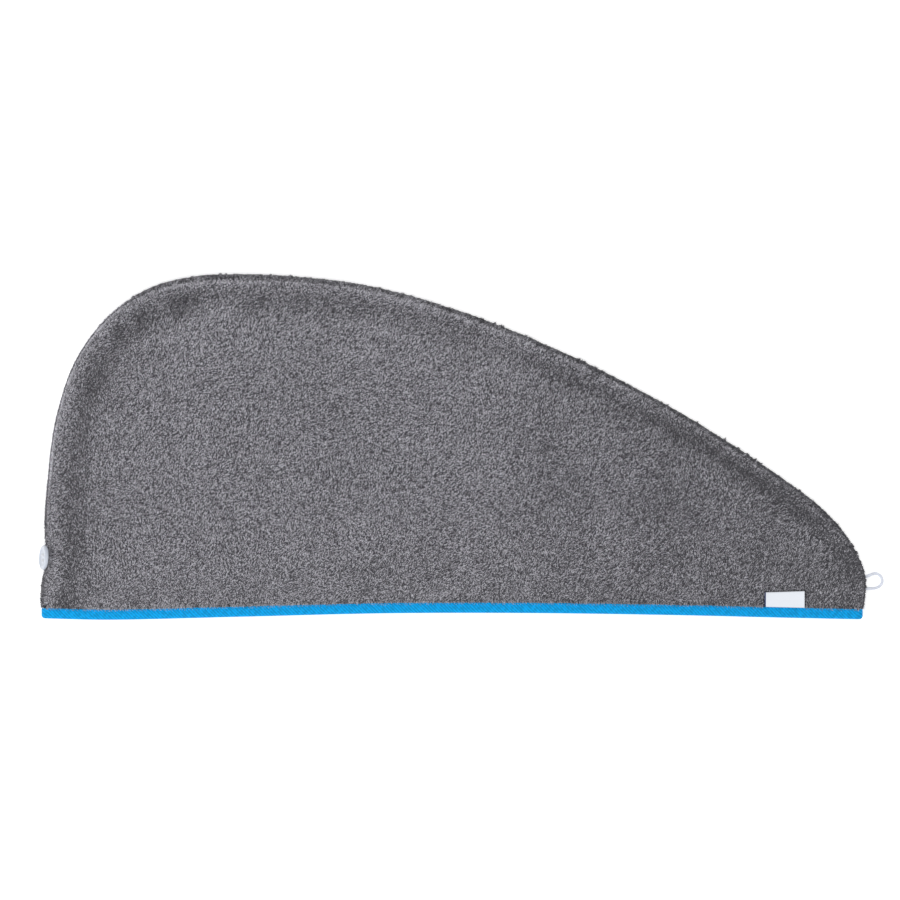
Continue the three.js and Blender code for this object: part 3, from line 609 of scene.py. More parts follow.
def ring_face(hood, edge, rings, shares, height):
    """One face of a panel, as rings from its edge inwards. A ring is (at the seam, at the mouth, rolled)."""
    deepest = rings[-1][1]
    faces = []
    last = None
    for at_seam, at_mouth, rolled in rings:
        wanted = np.where(edge["seam"], at_seam(edge["inset"]), at_mouth)
        farthest = RING_REACH * edge["reach"] * np.minimum(1, wanted / deepest + 0.1)
        run = np.where(wanted < 0, 0, np.minimum(wanted / edge["lean"], farthest))
        xy = edge["point"] + edge["ray"] * run[:, None]
        xy[:, 1] += np.where(wanted < 0, wanted * edge["tail"], 0)
        p = hood.place(xy[:, 0], xy[:, 1])
        p["inside"] = np.where(edge["seam"] & (wanted == 0), 0, p["inside"])
        p["gripped"] = ~edge["seam"] & (wanted <= 0)
        p["rolled"] = edge["seam"] & rolled
        last = xy
        faces.append(np.column_stack([xy, height(p)]))
    middle = edge["point"] + edge["ray"] * edge["reach"][:, None]
    for share in shares:
        xy = mix(last, middle, share)
        p = hood.place(xy[:, 0], xy[:, 1])
        p["gripped"] = p["rolled"] = np.zeros(len(xy), bool)
        faces.append(np.column_stack([xy, height(p)]))
    return np.array(faces)


# Where a ring lies at the seam: past the panel's inset, at a distance of its own, or at a share of the inset


def past(mm):
    return lambda inset: inset + mm


def at(mm):
    return lambda inset: np.full_like(inset, mm)


def part_of(share):
    return lambda inset: inset * share


def quads_between(first, second, n):
    i = np.arange(n)
    j = (i + 1) % n
    return np.stack([first + i, second + i, second + j, first + j], 1)


def zip_ring(points, first, flip):
    """Triangles that close a ring between its far side and its near side."""
    n = len(points)
    start, end = int(points[:, 0].argmin()), int(points[:, 0].argmax())
    far = near = start
    out = []
    while far != end or near != end:
        next_far, next_near = (far + 1) % n, (near - 1) % n
        far_run = np.linalg.norm(points[next_far] - points[near])
        near_run = np.linalg.norm(points[next_near] - points[far])
        step_far = near == end or (far != end and far_run <= near_run)
        tip = next_far if step_far else next_near
        if len({far, near, tip}) == 3:
            order = (far, tip, near) if flip else (far, near, tip)
            out.append([first + corner for corner in order])
        if step_far:
            far = tip
        else:
            near = tip
    return out


def new_mesh(name, points, faces):
    """A mesh object in the scene. faces is a list of arrays or lists of corner numbers."""
    mesh = bpy.data.meshes.new(name)
    flat = []
    for block in faces:
        flat.extend(np.asarray(block).tolist())
    mesh.from_pydata(np.asarray(points).tolist(), [], flat)
    mesh.validate()
    mesh.shade_smooth()
    obj = bpy.data.objects.new(name, mesh)
    bpy.context.scene.collection.objects.link(obj)
    return obj


def waves_at(points, run, seed):
    """Smooth noise from -1 to 1 at points, whose waves are as long as run, along X and along Y."""
    table = np.random.default_rng(int(seed * 10)).uniform(-1, 1, (512, 512))
    x, y = (points[:, :2] / run + 300.5).T
    i, j = np.floor(x).astype(int), np.floor(y).astype(int)
    u, v = smooth(x - i), smooth(y - j)
    corner = lambda a, b: table[(i + a) % 512, (j + b) % 512]
    return mix(mix(corner(0, 0), corner(1, 0), u), mix(corner(0, 1), corner(1, 1), u), v)


def area_normals(points, faces):
    """The normal at each point: the sum of its faces' own normals, by area."""
    total = np.zeros((len(points), 3))
    for block in faces:
        block = np.asarray(block)
        a, b, c = points[block[:, 0]], points[block[:, 1]], points[block[:, 2]]
        normal = np.cross(b - a, c - a)
        if block.shape[1] == 4:
            normal = normal + np.cross(c - a, points[block[:, 3]] - a)
        for k in range(block.shape[1]):
            np.add.at(total, block[:, k], normal)
    return total / np.maximum(np.linalg.norm(total, axis=1), 1e-12)[:, None]


def build_panel(hood, name, upper, lower, outer_is_upper, seed):
    """A closed panel from the rings of its two faces. Its outer face is laid under the pile."""
    n = upper.shape[1]
    points = np.vstack([upper.reshape(-1, 3), lower.reshape(-1, 3)])
    base = len(upper) * n
    faces = []
    for k in range(len(upper) - 1):
        faces.append(quads_between(k * n, (k + 1) * n, n))
    for k in range(len(lower) - 1):
        faces.append(quads_between(base + (k + 1) * n, base + k * n, n))
    faces.append(quads_between(base, 0, n))
    faces.append(zip_ring(upper[-1], (len(upper) - 1) * n, False))
    faces.append(zip_ring(lower[-1], base + (len(lower) - 1) * n, True))
    p = hood.place(points[:, 0], points[:, 1])
    s = hood.s
    is_upper = np.arange(len(points)) < base
    if outer_is_upper:
        free = smooth((p["inside"] - s.rim_width) / s.valley_at)
        free = free * smooth(p["to_mouth"] / hood.tape.lip_run - 0.2)
        wave = waves_at(points, s.wave_run, seed) + 0.9 * waves_at(points, s.wave_run * 2.4, seed + 4)
        wave += 0.45 * waves_at(points, s.wave_run * 0.42, seed + 8)
        points[:, 2] += wave * s.wave * free
        outer = is_upper
    else:
        outer = ~is_upper | (p["inside"] < p["roll"] + 0.05)
    grip = smooth((p["to_mouth"] - hood.grip_end) / 3)
    points = points - area_normals(points, faces) * (outer * s.skin * grip)[:, None]
    if not outer_is_upper:
        points[:, 2] = np.maximum(points[:, 2], GROUND_CLEARANCE)
    return new_mesh(name, hood.world(points), faces)


def front_mesh(hood):
    edge = panel_edge(hood, lambda seam: seam["roll"] + hood.s.seam_gap, 1.8)
    step = hood.s.cloth / 2
    outer = ring_face(
        hood,
        edge,
        [(past(0), -1, False), (past(0.4), -0.7, False), (past(0.9), -0.4, False), (past(1.6), 0, False)]
        + [(past(2.5), 0.8, False), (past(3.6), 1.8, False), (past(5.0), 3.2, False)]
        + [(at(mm), mm - 5.5, False) for mm in (11.5, 13, 14.5, 16, 17.5, 19, 21, 23, 25.5)]
        + [(at(mm), mm - 5.5, False) for mm in (28, 31, 34, 38, 42)],
        [0.05, 0.1, 0.15, 0.21, 0.27, 0.33, 0.39, 0.45, 0.51, 0.57, 0.63, 0.69, 0.75, 0.81, 0.87, 0.93],
        hood.front_outer,
    )
    inner = ring_face(
        hood,
        edge,
        [(past(0), -1, False), (at(hood.s.allowance), 0, False), (at(hood.s.allowance + step), step, False)]
        + [(at(hood.s.allowance + 2 * step), 2 * step, False), (at(18), 13, False), (at(27), 22, False)]
        + [(at(42), 38, False)],
        [0.2, 0.4, 0.6, 0.8],
        hood.front_inner,
    )
    return build_panel(hood, "front_terry", outer, inner, True, 3.0)


def back_mesh(hood):
    edge = panel_edge(hood, lambda seam: seam["roll"], 0.0)
    step = hood.s.cloth / 2
    rim = hood.s.rim_width
    inner = ring_face(
        hood,
        edge,
        [(part_of(t), t - 1.0, True) for t in (0, 0.04, 0.12, 0.24, 0.4, 0.6, 0.8, 1)]
        + [(part_of(1), 0.3, False), (at(hood.s.allowance), step, False)]
        + [(at(hood.s.allowance + step), 2 * step, False), (at(hood.s.allowance + 2 * step), 8, False)]
        + [(at(20), 15, False), (at(42), 38, False)],
        [0.3, 0.6],
        hood.back_inner,
    )
    outer = ring_face(
        hood,
        edge,
        [(at(rim * t), t / 0.4 - 1, False) for t in (0, 0.015, 0.06, 0.14, 0.24)]
        + [(at(rim * 0.38), 0, False), (at(rim * 0.55), 4, False)]
        + [(at(rim * 0.75), 6, False), (at(rim), 8, False)]
        + [(at(13), 11, False), (at(20), 15, False), (at(30), 26, False), (at(42), 38, False)],
        [0.25, 0.5, 0.75],
        hood.back_outer,
    )
    return build_panel(hood, "back_terry", inner, outer, False, 9.0)


class Surface:
    """A new material with its Principled shader, and short ways to add nodes to it."""

    def __init__(self, name):
        self.mat = bpy.data.materials.new(name)
        self.mat.use_nodes = True
        self.tree = self.mat.node_tree
        self.shader = self.tree.nodes["Principled BSDF"]

    def add(self, kind, feeds=(), **values):
        node = self.tree.nodes.new(kind)
        for key, value in values.items():
            if key in node.inputs:
                node.inputs[key].default_value = value
            else:
                setattr(node, key, value)
        for socket, source in feeds:
            self.tree.links.new(source, node.inputs[socket])
        return node

    def place(self):
        """Where a point of the object is, in metres."""
        return self.add("ShaderNodeTexCoord").outputs["Object"]

    def weave(self):
        """Where a point of the cloth is along and across it, in metres."""
        return self.add("ShaderNodeUVMap", uv_map="weave").outputs["UV"]

    def noise(self, place, scale, detail=2.0):
        node = self.add("ShaderNodeTexNoise", [("Vector", place)], Scale=scale, Detail=detail)
        return node.outputs["Fac"]

    def math(self, operation, first, second):
        return self.add("ShaderNodeMath", [(0, first), (1, second)], operation=operation).outputs[0]

    def stretch(self, value, low, high, span=(0.3, 0.7)):
        """A value whose span becomes low to high."""
        node = self.add("ShaderNodeMapRange", [("Value", value)])
        for socket, number in zip(("From Min", "From Max", "To Min", "To Max"), (*span, low, high)):
            node.inputs[socket].default_value = number
        return node.outputs["Result"]

    def blend(self, dark, light, factor):
        """From a dark colour to a light one. Sockets 6 and 7 of the mix are its two colours."""
        node = self.add("ShaderNodeMix", [("Factor", factor)], data_type="RGBA")
        node.inputs[6].default_value = (*dark, 1)
        node.inputs[7].default_value = (*light, 1)
        return node.outputs[2]

    def relief(self, height, strength, distance):
        node = self.add("ShaderNodeBump", [("Height", height)], Strength=strength, Distance=distance)
        self.tree.links.new(node.outputs["Normal"], self.shader.inputs["Normal"])

    def done(self, colour, **values):
        """Sets the shader's base colour and its plain numbers, and gives the material."""
        self.tree.links.new(colour, self.shader.inputs["Base Color"])
        for socket, value in values.items():
            self.shader.inputs[socket.replace("_", " ")].default_value = value
        return self.mat


def darker(colour, share):
    return [channel * share for channel in colour]


def pile_material(colours):
    """Cloth yarn whose shade comes from the tone of each tuft, with painted shade at its root and painted
    light at its tip.
    """
    surface = Surface("terry_pile")
    tone = surface.add("ShaderNodeAttribute", attribute_name="tone").outputs["Fac"]
    # Fine random grain that stands in for lit crests and shaded gaps between the yarn's loops: painted light
    # and shade
    yarn = surface.stretch(surface.noise(surface.place(), 1150.0, 1.0), 0.45, 1.55)
    shade = surface.blend(colours.pile_dark, colours.pile_light, surface.math("MULTIPLY", tone, yarn))
    return surface.done(
        shade, Roughness=0.75, Specular_IOR_Level=0.35, Sheen_Weight=0.15, Sheen_Roughness=0.5
    )


def ground_material(colours):
    """The woven base: small round loops in a dark grey, darker than the yarn as painted shade for the gaps
    between the tufts.
    """
    surface = Surface("terry_ground")
    place = surface.place()
    loops = surface.add("ShaderNodeTexVoronoi", [("Vector", place)], Scale=700.0)
    surface.relief(loops.outputs["Distance"], 0.8, 0.001)
    shade = surface.blend(darker(colours.ground, 0.6), colours.ground, surface.noise(place, 900.0))
    return surface.done(shade, Roughness=0.95)


def weave_material(name, base, pitch, depth, roughness, dark=0.66):
    """Cloth whose fine diagonal lines follow the piece's own map, in metres along and across it."""
    surface = Surface(name)
    place = surface.weave()
    turned = surface.add("ShaderNodeMapping", [("Vector", place)], Rotation=(0, 0, math.radians(45)))
    lines = surface.add(
        "ShaderNodeTexWave",
        [("Vector", turned.outputs["Vector"])],
        Scale=math.pi / 10 / (pitch * MM),
        Distortion=0.6,
        Detail=1.0,
    ).outputs["Fac"]
    surface.relief(surface.math("ADD", lines, surface.noise(place, 1400.0)), 0.6, depth * MM)
    # Painted light and shade in soft patches, as on puckered cloth, and painted shade in the grooves between
    # the ribs, where the lines' relief is low
    painted_pucker_shading = surface.stretch(surface.noise(place, 310.0, 1.0), -0.5, 0.5)
    shade = surface.blend(darker(base, dark), base, surface.math("ADD", lines, painted_pucker_shading))
    return surface.done(shade, Roughness=roughness, Specular_IOR_Level=0.15)


def thread_material(colours):
    """Twisted thread: fine grooves in a matt white."""
    surface = Surface("sewing_thread")
    twist = surface.noise(surface.place(), 2600.0)
    surface.relief(twist, 0.5, 0.0002)
    # Painted shade in the grooves of the twist, where its relief is low
    return surface.done(surface.blend(darker(colours.thread, 0.7), colours.thread, twist), Roughness=0.7)


def button_material(colours):
    """Cast gloss plastic: pale, faintly clouded, with tiny marks from wear."""
    surface = Surface("button_gloss")
    place = surface.place()
    marks = surface.noise(place, 1500.0)
    gloss = surface.stretch(marks, 0.18, 0.4, (0.0, 1.0))
    surface.tree.links.new(gloss, surface.shader.inputs["Roughness"])
    surface.relief(marks, 0.12, 0.0001)
    cloud = surface.noise(place, 190.0, 3.0)
    return surface.done(surface.blend(darker(colours.button, 0.88), colours.button, cloud))


def label_material(colours, label):
    """Fine woven ribbon with a dark woven edge at its left end."""
    surface = Surface("label_weave")
    place = surface.weave()
    ribs, cross = (
        surface.add("ShaderNodeTexWave", [("Vector", place)], bands_direction=way, Scale=scale).outputs["Fac"]
        for way, scale in (("Y", 900.0), ("X", 700.0))
    )
    threads = surface.math("MULTIPLY", ribs, cross)
    surface.relief(threads, 0.4, 0.0001)
    # Painted shade between the threads, where their relief is low
    cloth = surface.blend(darker(colours.label, 0.86), colours.label, threads)
    axes = surface.add("ShaderNodeSeparateXYZ", [("Vector", place)])
    edge = surface.add("ShaderNodeMath", [(0, axes.outputs["X"])], operation="LESS_THAN")
    edge.inputs[1].default_value = label.edge * MM
    both = surface.add("ShaderNodeMix", [("Factor", edge.outputs[0]), (6, cloth)], data_type="RGBA")
    both.inputs[7].default_value = (*colours.label_edge, 1)
    return surface.done(both.outputs[2], Roughness=0.55)


def floor_material(colours, glow):
    """A white table with a faint grain, lit a little from below."""
    surface = Surface("studio_floor")
    shade = surface.blend(darker(colours.floor, 0.985), colours.floor, surface.noise(surface.place(), 60.0))
    return surface.done(shade, Roughness=0.9, Emission_Color=(*colours.floor, 1), Emission_Strength=glow)


def weave_map(obj, along, across):
    """Gives a mesh a map named weave from each vertex's place along and across its cloth, in metres."""
    layer = obj.data.uv_layers.new(name="weave")
    corner = np.empty(len(obj.data.loops), np.int32)
    obj.data.loops.foreach_get("vertex_index", corner)
    uv = np.stack([np.asarray(along)[corner], np.asarray(across)[corner]], 1).astype(np.float32)
    layer.data.foreach_set("uv", uv.ravel())


def scatter(obj, count, rng, keep):
    """Random places on an object's faces, even by area, with the normal there. keep picks triangles."""
    mesh = obj.data
    mesh.calc_loop_triangles()
    corner = np.empty(len(mesh.loop_triangles) * 3, np.int32)
    mesh.loop_triangles.foreach_get("vertices", corner)
    corner = corner.reshape(-1, 3)
    co = np.empty(len(mesh.vertices) * 3, np.float32)
    mesh.vertices.foreach_get("co", co)
    co = co.reshape(-1, 3).astype(float)
    no = area_normals(co, [corner])
    tri, tri_no = co[corner], no[corner]
    area = np.linalg.norm(np.cross(tri[:, 1] - tri[:, 0], tri[:, 2] - tri[:, 0]), axis=1)
    total = np.cumsum(area * keep(tri.mean(1), tri_no.mean(1)))
    pick = np.searchsorted(total, (np.arange(count) + rng.random(count)) / count * total[-1])
    u, v = rng.random(count), rng.random(count)
    over = u + v > 1
    u[over], v[over] = 1 - u[over], 1 - v[over]
    w = np.stack([1 - u - v, u, v], 1)[:, :, None]
    normal = (tri_no[pick] * w).sum(1)
    return (tri[pick] * w).sum(1), normal / np.linalg.norm(normal, axis=1)[:, None]


def unit(vectors):
    return vectors / np.maximum(np.linalg.norm(vectors, axis=1), 1e-9)[:, None]


def nap_way(points, normals, pile, rng):
    """The way that each tuft lies on the cloth: the nap, with slow swirls and its own stray."""
    mm = points / MM
    turn = pile.turn + 0.5 * waves_at(mm, 34.0, 1.0) + 0.55 * waves_at(mm, 7.0, 5.0)
    turn += rng.normal(0, 1, len(points)) * pile.stray
    way = np.stack([np.cos(turn), np.sin(turn), np.zeros(len(turn))], 1)
    flat = way - normals * (way * normals).sum(1)[:, None]
    steep = np.linalg.norm(flat, axis=1)[:, None] < 0.25
    return unit(np.where(steep, np.cross(normals, [0.2, 1.0, 0.3]), flat))


def tuft_shade(hood, points, rng):
    """How light each tuft is: cloudy at random, with painted shade in the dip inside the seam, on the roll,
    in the groove at the low left and towards the tail, painted light on the band inside the seam, and painted
    light and shade over the folds and the listed patches.
    """
    mm = points / MM - hood.origin
    p = hood.place(mm[:, 0], mm[:, 1])
    s = hood.s
    inside = p["inside"]
    along = mm[:, 0] / s.long
    left = 1 - smooth((along - 0.05) / 0.15)
    shade = np.full(len(points), TONE["even"])
    shade += TONE["small_clouds"] * waves_at(mm, 16.0, 21.0) + TONE["large_clouds"] * waves_at(mm, 44.0, 27.0)

    # Painted shade in the dip inside the seam, wider and stronger at the left
    dip_at = s.valley_at + 3.0 * left - 4.0 * smooth((along - 0.6) / 0.3)
    dip_wide = s.valley_width * mix(1.1, 1.6, left)
    dip = mix(TONE["dip"], TONE["dip_left"], left) * mix(1.0, 0.8, bell((along - 0.45) / 0.12))
    dapple = 1 + 0.6 * waves_at(mm, 21.0, 33.0)
    shade -= dip * dapple * bell((inside - dip_at) / dip_wide)
    # Painted light on the folds' rises and painted shade in their dents
    shade += TONE["folds"] * np.clip(hood.folds(mm[:, 0], mm[:, 1]) / s.fold_rise, -1.4, 0.6)
    # Painted shade and painted light in the listed patches
    shade += hood.sum_of(PAINTED_SHADE_PATCHES, "shade", mm[:, 0], mm[:, 1])
    # Painted shade that darkens the pile towards the tail
    shade -= TONE["tail"] * smooth((along - 0.42) / 0.36)

    # Painted shade on the rolled strip of the seam, in rows along it
    on_roll = smooth((p["roll"] - inside) / 0.8 + 0.5) * smooth(p["roll"] / 3.0)
    rows = 1 + 0.5 * np.sin(2 * math.pi * inside / 1.9)
    shade -= TONE["roll"] * on_roll * rows
    # Painted shade in the groove along the seam at the low left
    low_left = (1 - smooth((along - 0.02) / 0.02)) * (1 - smooth((mm[:, 1] - 84.0) / 14.0))
    groove = 1.6 + 1.6 * (1 - smooth((mm[:, 1] - 34.0) / 14.0))
    shade -= TONE["groove"] * low_left * bell((inside - groove) / 0.8)
    # Painted light on the band just inside the seam, stronger at the left
    band = (1 - on_roll) * bell((inside - p["roll"] - 3.5) / 3.5)
    shade += (TONE["band"] + TONE["band_left"] * left) * band

    turn = hood.pile.turn
    lie = np.stack([mm @ [math.cos(turn), math.sin(turn), 0], mm @ [-math.sin(turn), math.cos(turn), 0]], 1)
    lie[:, 1] += 1.6 * waves_at(mm, 8.0, 41.0)
    clump = 0.7 * waves_at(lie, np.array([1.5, 0.6]), 47.0) + rng.uniform(-1, 1, len(points))
    return shade + hood.pile.contrast * mix(shade, 0.56, 0.6) * (1 - 0.4 * left * band) * clump


def add_tufts(name, root, tip, side, normals, shade, material, lowest=None):
    """A joined mesh of tufts. Each is a ridge from its root to its tip that falls off to both sides."""
    n = len(root)
    left = mix(root, tip, 0.5) + side - normals
    right = mix(root, tip, 0.42) - side - normals
    co = np.stack([root, left, tip, right], 1).reshape(-1, 3)
    if lowest is not None:
        co[:, 2] = np.maximum(co[:, 2], lowest)
    i = np.arange(n)[:, None] * 4
    tris = np.stack([i + [0, 2, 1], i + [0, 3, 2]], 1).reshape(-1, 3)
    mesh = bpy.data.meshes.new(name)
    mesh.vertices.add(len(co))
    mesh.vertices.foreach_set("co", co.astype(np.float32).ravel())
    mesh.loops.add(len(tris) * 3)
    mesh.loops.foreach_set("vertex_index", tris.astype(np.int32).ravel())
    mesh.polygons.add(len(tris))
    mesh.polygons.foreach_set("loop_start", np.arange(0, len(tris) * 3, 3, dtype=np.int32))
    mesh.polygons.foreach_set("use_smooth", np.zeros(len(tris), bool))
    # Painted shade at each tuft's root and sides, and painted light at its tip
    tone = np.clip(shade[:, None] * np.array([0.4, 0.7, 1.2, 0.6]), 0, 1)
    layer = mesh.attributes.new("tone", "FLOAT", "POINT")
    layer.data.foreach_set("value", tone.ravel().astype(np.float32))
    mesh.update(calc_edges=True)
    obj = bpy.data.objects.new(name, mesh)
    bpy.context.scene.collection.objects.link(obj)
    obj.data.materials.append(material)
    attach(obj, "root")
    return obj


def cover(name, hood, pile, points, normals, material, rng, lowest=None):
    """Tufts of pile that stand at the given places on the cloth."""
    n = len(points)
    way = nap_way(points, normals, pile, rng)
    spread = lambda low, high: rng.uniform(low, high, n)[:, None]
    long = pile.long * MM * spread(0.65, 1.35)
    stand = np.clip(rng.normal(1, 0.45, n), 0.1, 2.2)[:, None] * math.tan(pile.stand)
    bend = np.cross(normals, way) * long * spread(-0.12, 0.12)
    root = points - way * long * 0.5 - normals * ROOT_SINK * MM
    tip = points + way * long * 0.5 + normals * long * stand + bend
    side = np.cross(normals, way) * pile.wide / 2 * MM * spread(0.7, 1.3)
    drop = normals * FLAT_DROP * MM * spread(0.6, 1.3)
    return add_tufts(name, root, tip, side, drop, tuft_shade(hood, points, rng), material, lowest)


def sweep(rings, closed):
    """Quads along a row of rings of as many points."""
    n = rings.shape[1]
    count = len(rings)
    faces = []
    for k in range(count if closed else count - 1):
        faces.append(quads_between(k * n, (k + 1) % count * n, n))
    return faces


def tube(way, radius, sides=8):
    """Points and faces of a round tube along a way, with flat ends."""
    way = np.asarray(way, float)
    ahead = unit(np.gradient(way, axis=0))
    across = np.cross(ahead[0], [0.3, 0.2, 1.0])
    angle = np.linspace(0, 2 * math.pi, sides, endpoint=False)[:, None]
    rings = []
    for point, forward in zip(way, ahead):
        across = across - forward * (across @ forward)
        across = across / np.linalg.norm(across)
        over = np.cross(forward, across)
        rings.append(point + radius * (np.cos(angle) * across + np.sin(angle) * over))
    faces = sweep(np.array(rings), False)
    last = (len(way) - 1) * sides
    faces += [[list(range(sides - 1, -1, -1))], [list(range(last, last + sides))]]
    return np.vstack(rings), faces


def joined(parts):
    """Several parts, each points and faces, as one."""
    points, faces = [], []
    for part_points, part_faces in parts:
        first = sum(len(p) for p in points)
        points.append(part_points)
        for block in part_faces:
            faces.append([[corner + first for corner in face] for face in np.asarray(block).tolist()])
    return np.vstack(points), faces


class TOWEL_OT_panels(bpy.types.Operator):
    """Build the ground weave of the front and the back panel"""

    bl_idname = "towel.panels"
    bl_label = "Terry panels"

    def execute(self, context):
        scene = context.scene
        hood = Hood(scene)
        ground = ground_material(scene.towel_colours)
        for make, node in ((front_mesh, "front_panel"), (back_mesh, "back_panel")):
            obj = make(hood)
            obj.data.materials.append(ground)
            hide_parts(node)
            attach(obj, "root")
        return {"FINISHED"}


class TOWEL_OT_pile(bpy.types.Operator):
    """Cover both panels with tufts of pile"""

    bl_idname = "towel.pile"
    bl_label = "Terry pile"

    def execute(self, context):
        scene = context.scene
        hood = Hood(scene)
        s, pile, tape = hood.s, scene.towel_pile, hood.tape
        rng = np.random.default_rng(11)
        material = pile_material(scene.towel_colours)
        front, back = bpy.data.objects["front_terry"], bpy.data.objects["back_terry"]

        def facts(points):
            mm = points / MM - hood.origin
            return mm, hood.place(mm[:, 0], mm[:, 1])

        def on_front(points, normals):
            mm, p = facts(points)
            outer = (normals[:, 2] > -0.2) & (mm[:, 2] > p["mid"] + 0.4)
            return outer & (p["to_mouth"] > tape.wide - 0.6)

        def on_back(points, normals):
            mm, p = facts(points)
            ceiling = (normals[:, 2] < -0.9) & (mm[:, 2] > 2)
            under = (normals[:, 2] < 0.05) & (mm[:, 2] < p["mid"] + 0.3) & ~ceiling
            rolled = (p["inside"] < p["roll"] + 0.1) & (normals[:, 2] > -0.3)
            return (under | rolled) & (p["to_mouth"] > tape.wide - 0.6)

        def in_mouth(facing):
            def keep(points, normals):
                mm, p = facts(points)
                near = (p["to_mouth"] > tape.wide + 1) & (p["to_mouth"] < pile.depth)
                near &= p["inside"] > s.allowance + 4
                return near & (normals[:, 2] * facing > 0.5) & ((mm[:, 2] > 2) | (facing < 0))

            return keep

        piles = {}
        for obj, count, keep, lowest, ends in (
            (front, pile.front, on_front, None, ("wide_end", "middle", "tail")),
            (back, pile.back, on_back, PILE_CLEARANCE * MM, ("wide_end", "tail")),
        ):
            name = obj.name.replace("terry", "pile")
            places, normals = scatter(obj, count, rng, keep)
            order = np.array_split(places[:, 0].argsort(), len(ends))
            piles[obj] = [
                cover(f"{name}_{end}", hood, pile, places[part], normals[part], material, rng, lowest)
                for end, part in zip(ends, order)
            ]
            places, normals = scatter(obj, pile.inside, rng, in_mouth(-1 if obj is front else 1))
            piles[obj].append(cover(f"{name}_inside", hood, pile, places, normals, material, rng))
        piles[front].append(self.lip(hood, pile, tape, material, rng))
        piles[front].append(self.seam(hood, pile, material, rng))
        piles[back].append(self.rim(hood, pile, material, rng))
        return {"FINISHED"}

    def seam(self, hood, pile, material, rng):
        """Tufts of the front panel that lean out over the groove of the seam."""
        n = pile.seam
        share = rng.uniform(0.004, 0.996, n)
        seam = hood.seam_at(share)
        gap = hood.s.seam_gap
        start = seam["roll"] + gap + rng.uniform(0.2, 2.2, n)
        end = np.maximum(start - rng.uniform(1.4, 3.2, n), rng.uniform(-0.6, 0.3, n))

        def on_skin(inside, rise):
            xy = seam["point"] + seam["normal"] * np.maximum(inside, 0.02)[:, None]
            xy += seam["normal"] * np.minimum(inside, 0)[:, None]
            p = hood.place(xy[:, 0], xy[:, 1])
            p["inside"] = np.maximum(inside, 0.02)
            return np.column_stack([xy, hood.upper_skin(p) - EDGE_DROP + rise])

        slide = seam["tangent"] * rng.normal(0.6, 0.8, n)[:, None]
        root = on_skin(start, 0.0)
        tip = on_skin(end, rng.uniform(0.0, 0.7, n))
        tip[:, :2] += slide
        way = unit(tip - root)
        out = unit(np.column_stack([-seam["normal"] * 0.5, np.ones(n)]))
        side = unit(np.cross(out, way)) * pile.wide / 2
        drop = out * EDGE_DROP
        root, tip = hood.world(root), hood.world(tip)
        shade = tuft_shade(hood, root, rng)
        return add_tufts("front_pile_seam", root, tip, side * MM, drop * MM, shade, material)

    def rim(self, hood, pile, material, rng):
        """Tufts on the rounded side of the sewn edge, from low on the back panel up to the seam."""
        n = pile.rim
        s = hood.s
        share = rng.uniform(0.003, 0.997, n)
        seam = hood.seam_at(share)
        normal = seam["normal"]
        top = np.arccos(1 - (seam["roll"] + 1.0) / s.rim_width)
        angle = mix(math.radians(-40), top, rng.uniform(0, 1, n))
        inside = s.rim_width * (1 - np.cos(angle))
        xy = seam["point"] + normal * inside[:, None]
        p = hood.place(xy[:, 0], xy[:, 1])
        p["inside"] = inside
        low = p["mid"] * (1 + np.sin(np.minimum(angle, 0)))
        out = unit(np.column_stack([-normal * np.cos(angle)[:, None], np.sin(angle)]))
        skin = np.column_stack([xy, np.where(angle > 0, hood.upper_skin(p), low)]) - out * 0.4
        ahead = np.column_stack([seam["tangent"], np.zeros(n)])
        climb = np.cross(ahead, out)
        way = unit(ahead * rng.normal(0.5, 0.5, n)[:, None] - climb * rng.normal(0.3, 0.6, n)[:, None])
        long = pile.long * rng.uniform(0.8, 1.5, n)
        root = skin - way * long[:, None] / 2
        bursts = waves_at(np.column_stack([share * hood.seam_length, share * 0]), 2.6, 71.0)
        ragged = smooth(bursts * 1.6 - 0.2)
        ragged *= smooth((share - 0.2) / 0.1) * rng.uniform(0, 1, n) * (angle > -0.2)
        stand = long * np.clip(rng.normal(0.3, 0.2, n), 0.02, 0.6) + 2.1 * ragged
        tip = skin + way * long[:, None] / 2 + out * stand[:, None]
        side = np.cross(out, way) * pile.wide * 0.65
        root, tip = hood.world(root), hood.world(tip)
        # Painted light on the rim's tufts at the left of the seam, and painted shade on them elsewhere
        left = smooth((share - 0.09) / 0.04) * (1 - smooth((share - 0.24) / 0.05))
        shade = tuft_shade(hood, root, rng) * mix(0.72, 1.3, left) + mix(-0.05, 0.24, left)
        drop, lowest = out * EDGE_DROP, PILE_CLEARANCE * MM
        return add_tufts("back_pile_rim", root, tip, side * MM, drop * MM, shade, material, lowest)

    def lip(self, hood, pile, tape, material, rng):
        """Tufts beside the tape that swell up and lean over its edge."""
        x = rng.uniform(hood.mouth[0, 0] + 3, hood.mouth[-1, 0] - 3, pile.lip)
        start = hood.label.across * hood.s.long
        x = x[(x < start - 0.5) | (x > start + hood.label.wide + 0.5)]
        n = len(x)
        foot = hood.mouth_y(x)
        rest = hood.upper_run(x)
        over = rng.uniform(-1.8, 0.2, n) - 0.5 * (waves_at(np.column_stack([x, x * 0]), 2.2, 61.0) > 0.25)
        root = np.stack([x, foot + tape.wide + rng.uniform(0.9, 2.4, n), rest + 1.2], 1)
        high = rest + tape.thick / 2 + rng.uniform(0.0, 0.5, n)
        tip = np.stack([x + rng.normal(0, 0.8, n), foot + tape.wide + over, high], 1)
        side = np.stack([np.full(n, pile.wide / 2), np.zeros(n), np.zeros(n)], 1)
        drop = np.tile([0.0, 0.0, EDGE_DROP], (n, 1))
        root, tip = hood.world(root), hood.world(tip)
        # Painted shade: the lip's tufts are made darker
        shade = tuft_shade(hood, root, rng) * 0.8
        return add_tufts("front_pile_lip", root, tip, side * MM, drop * MM, shade, material)


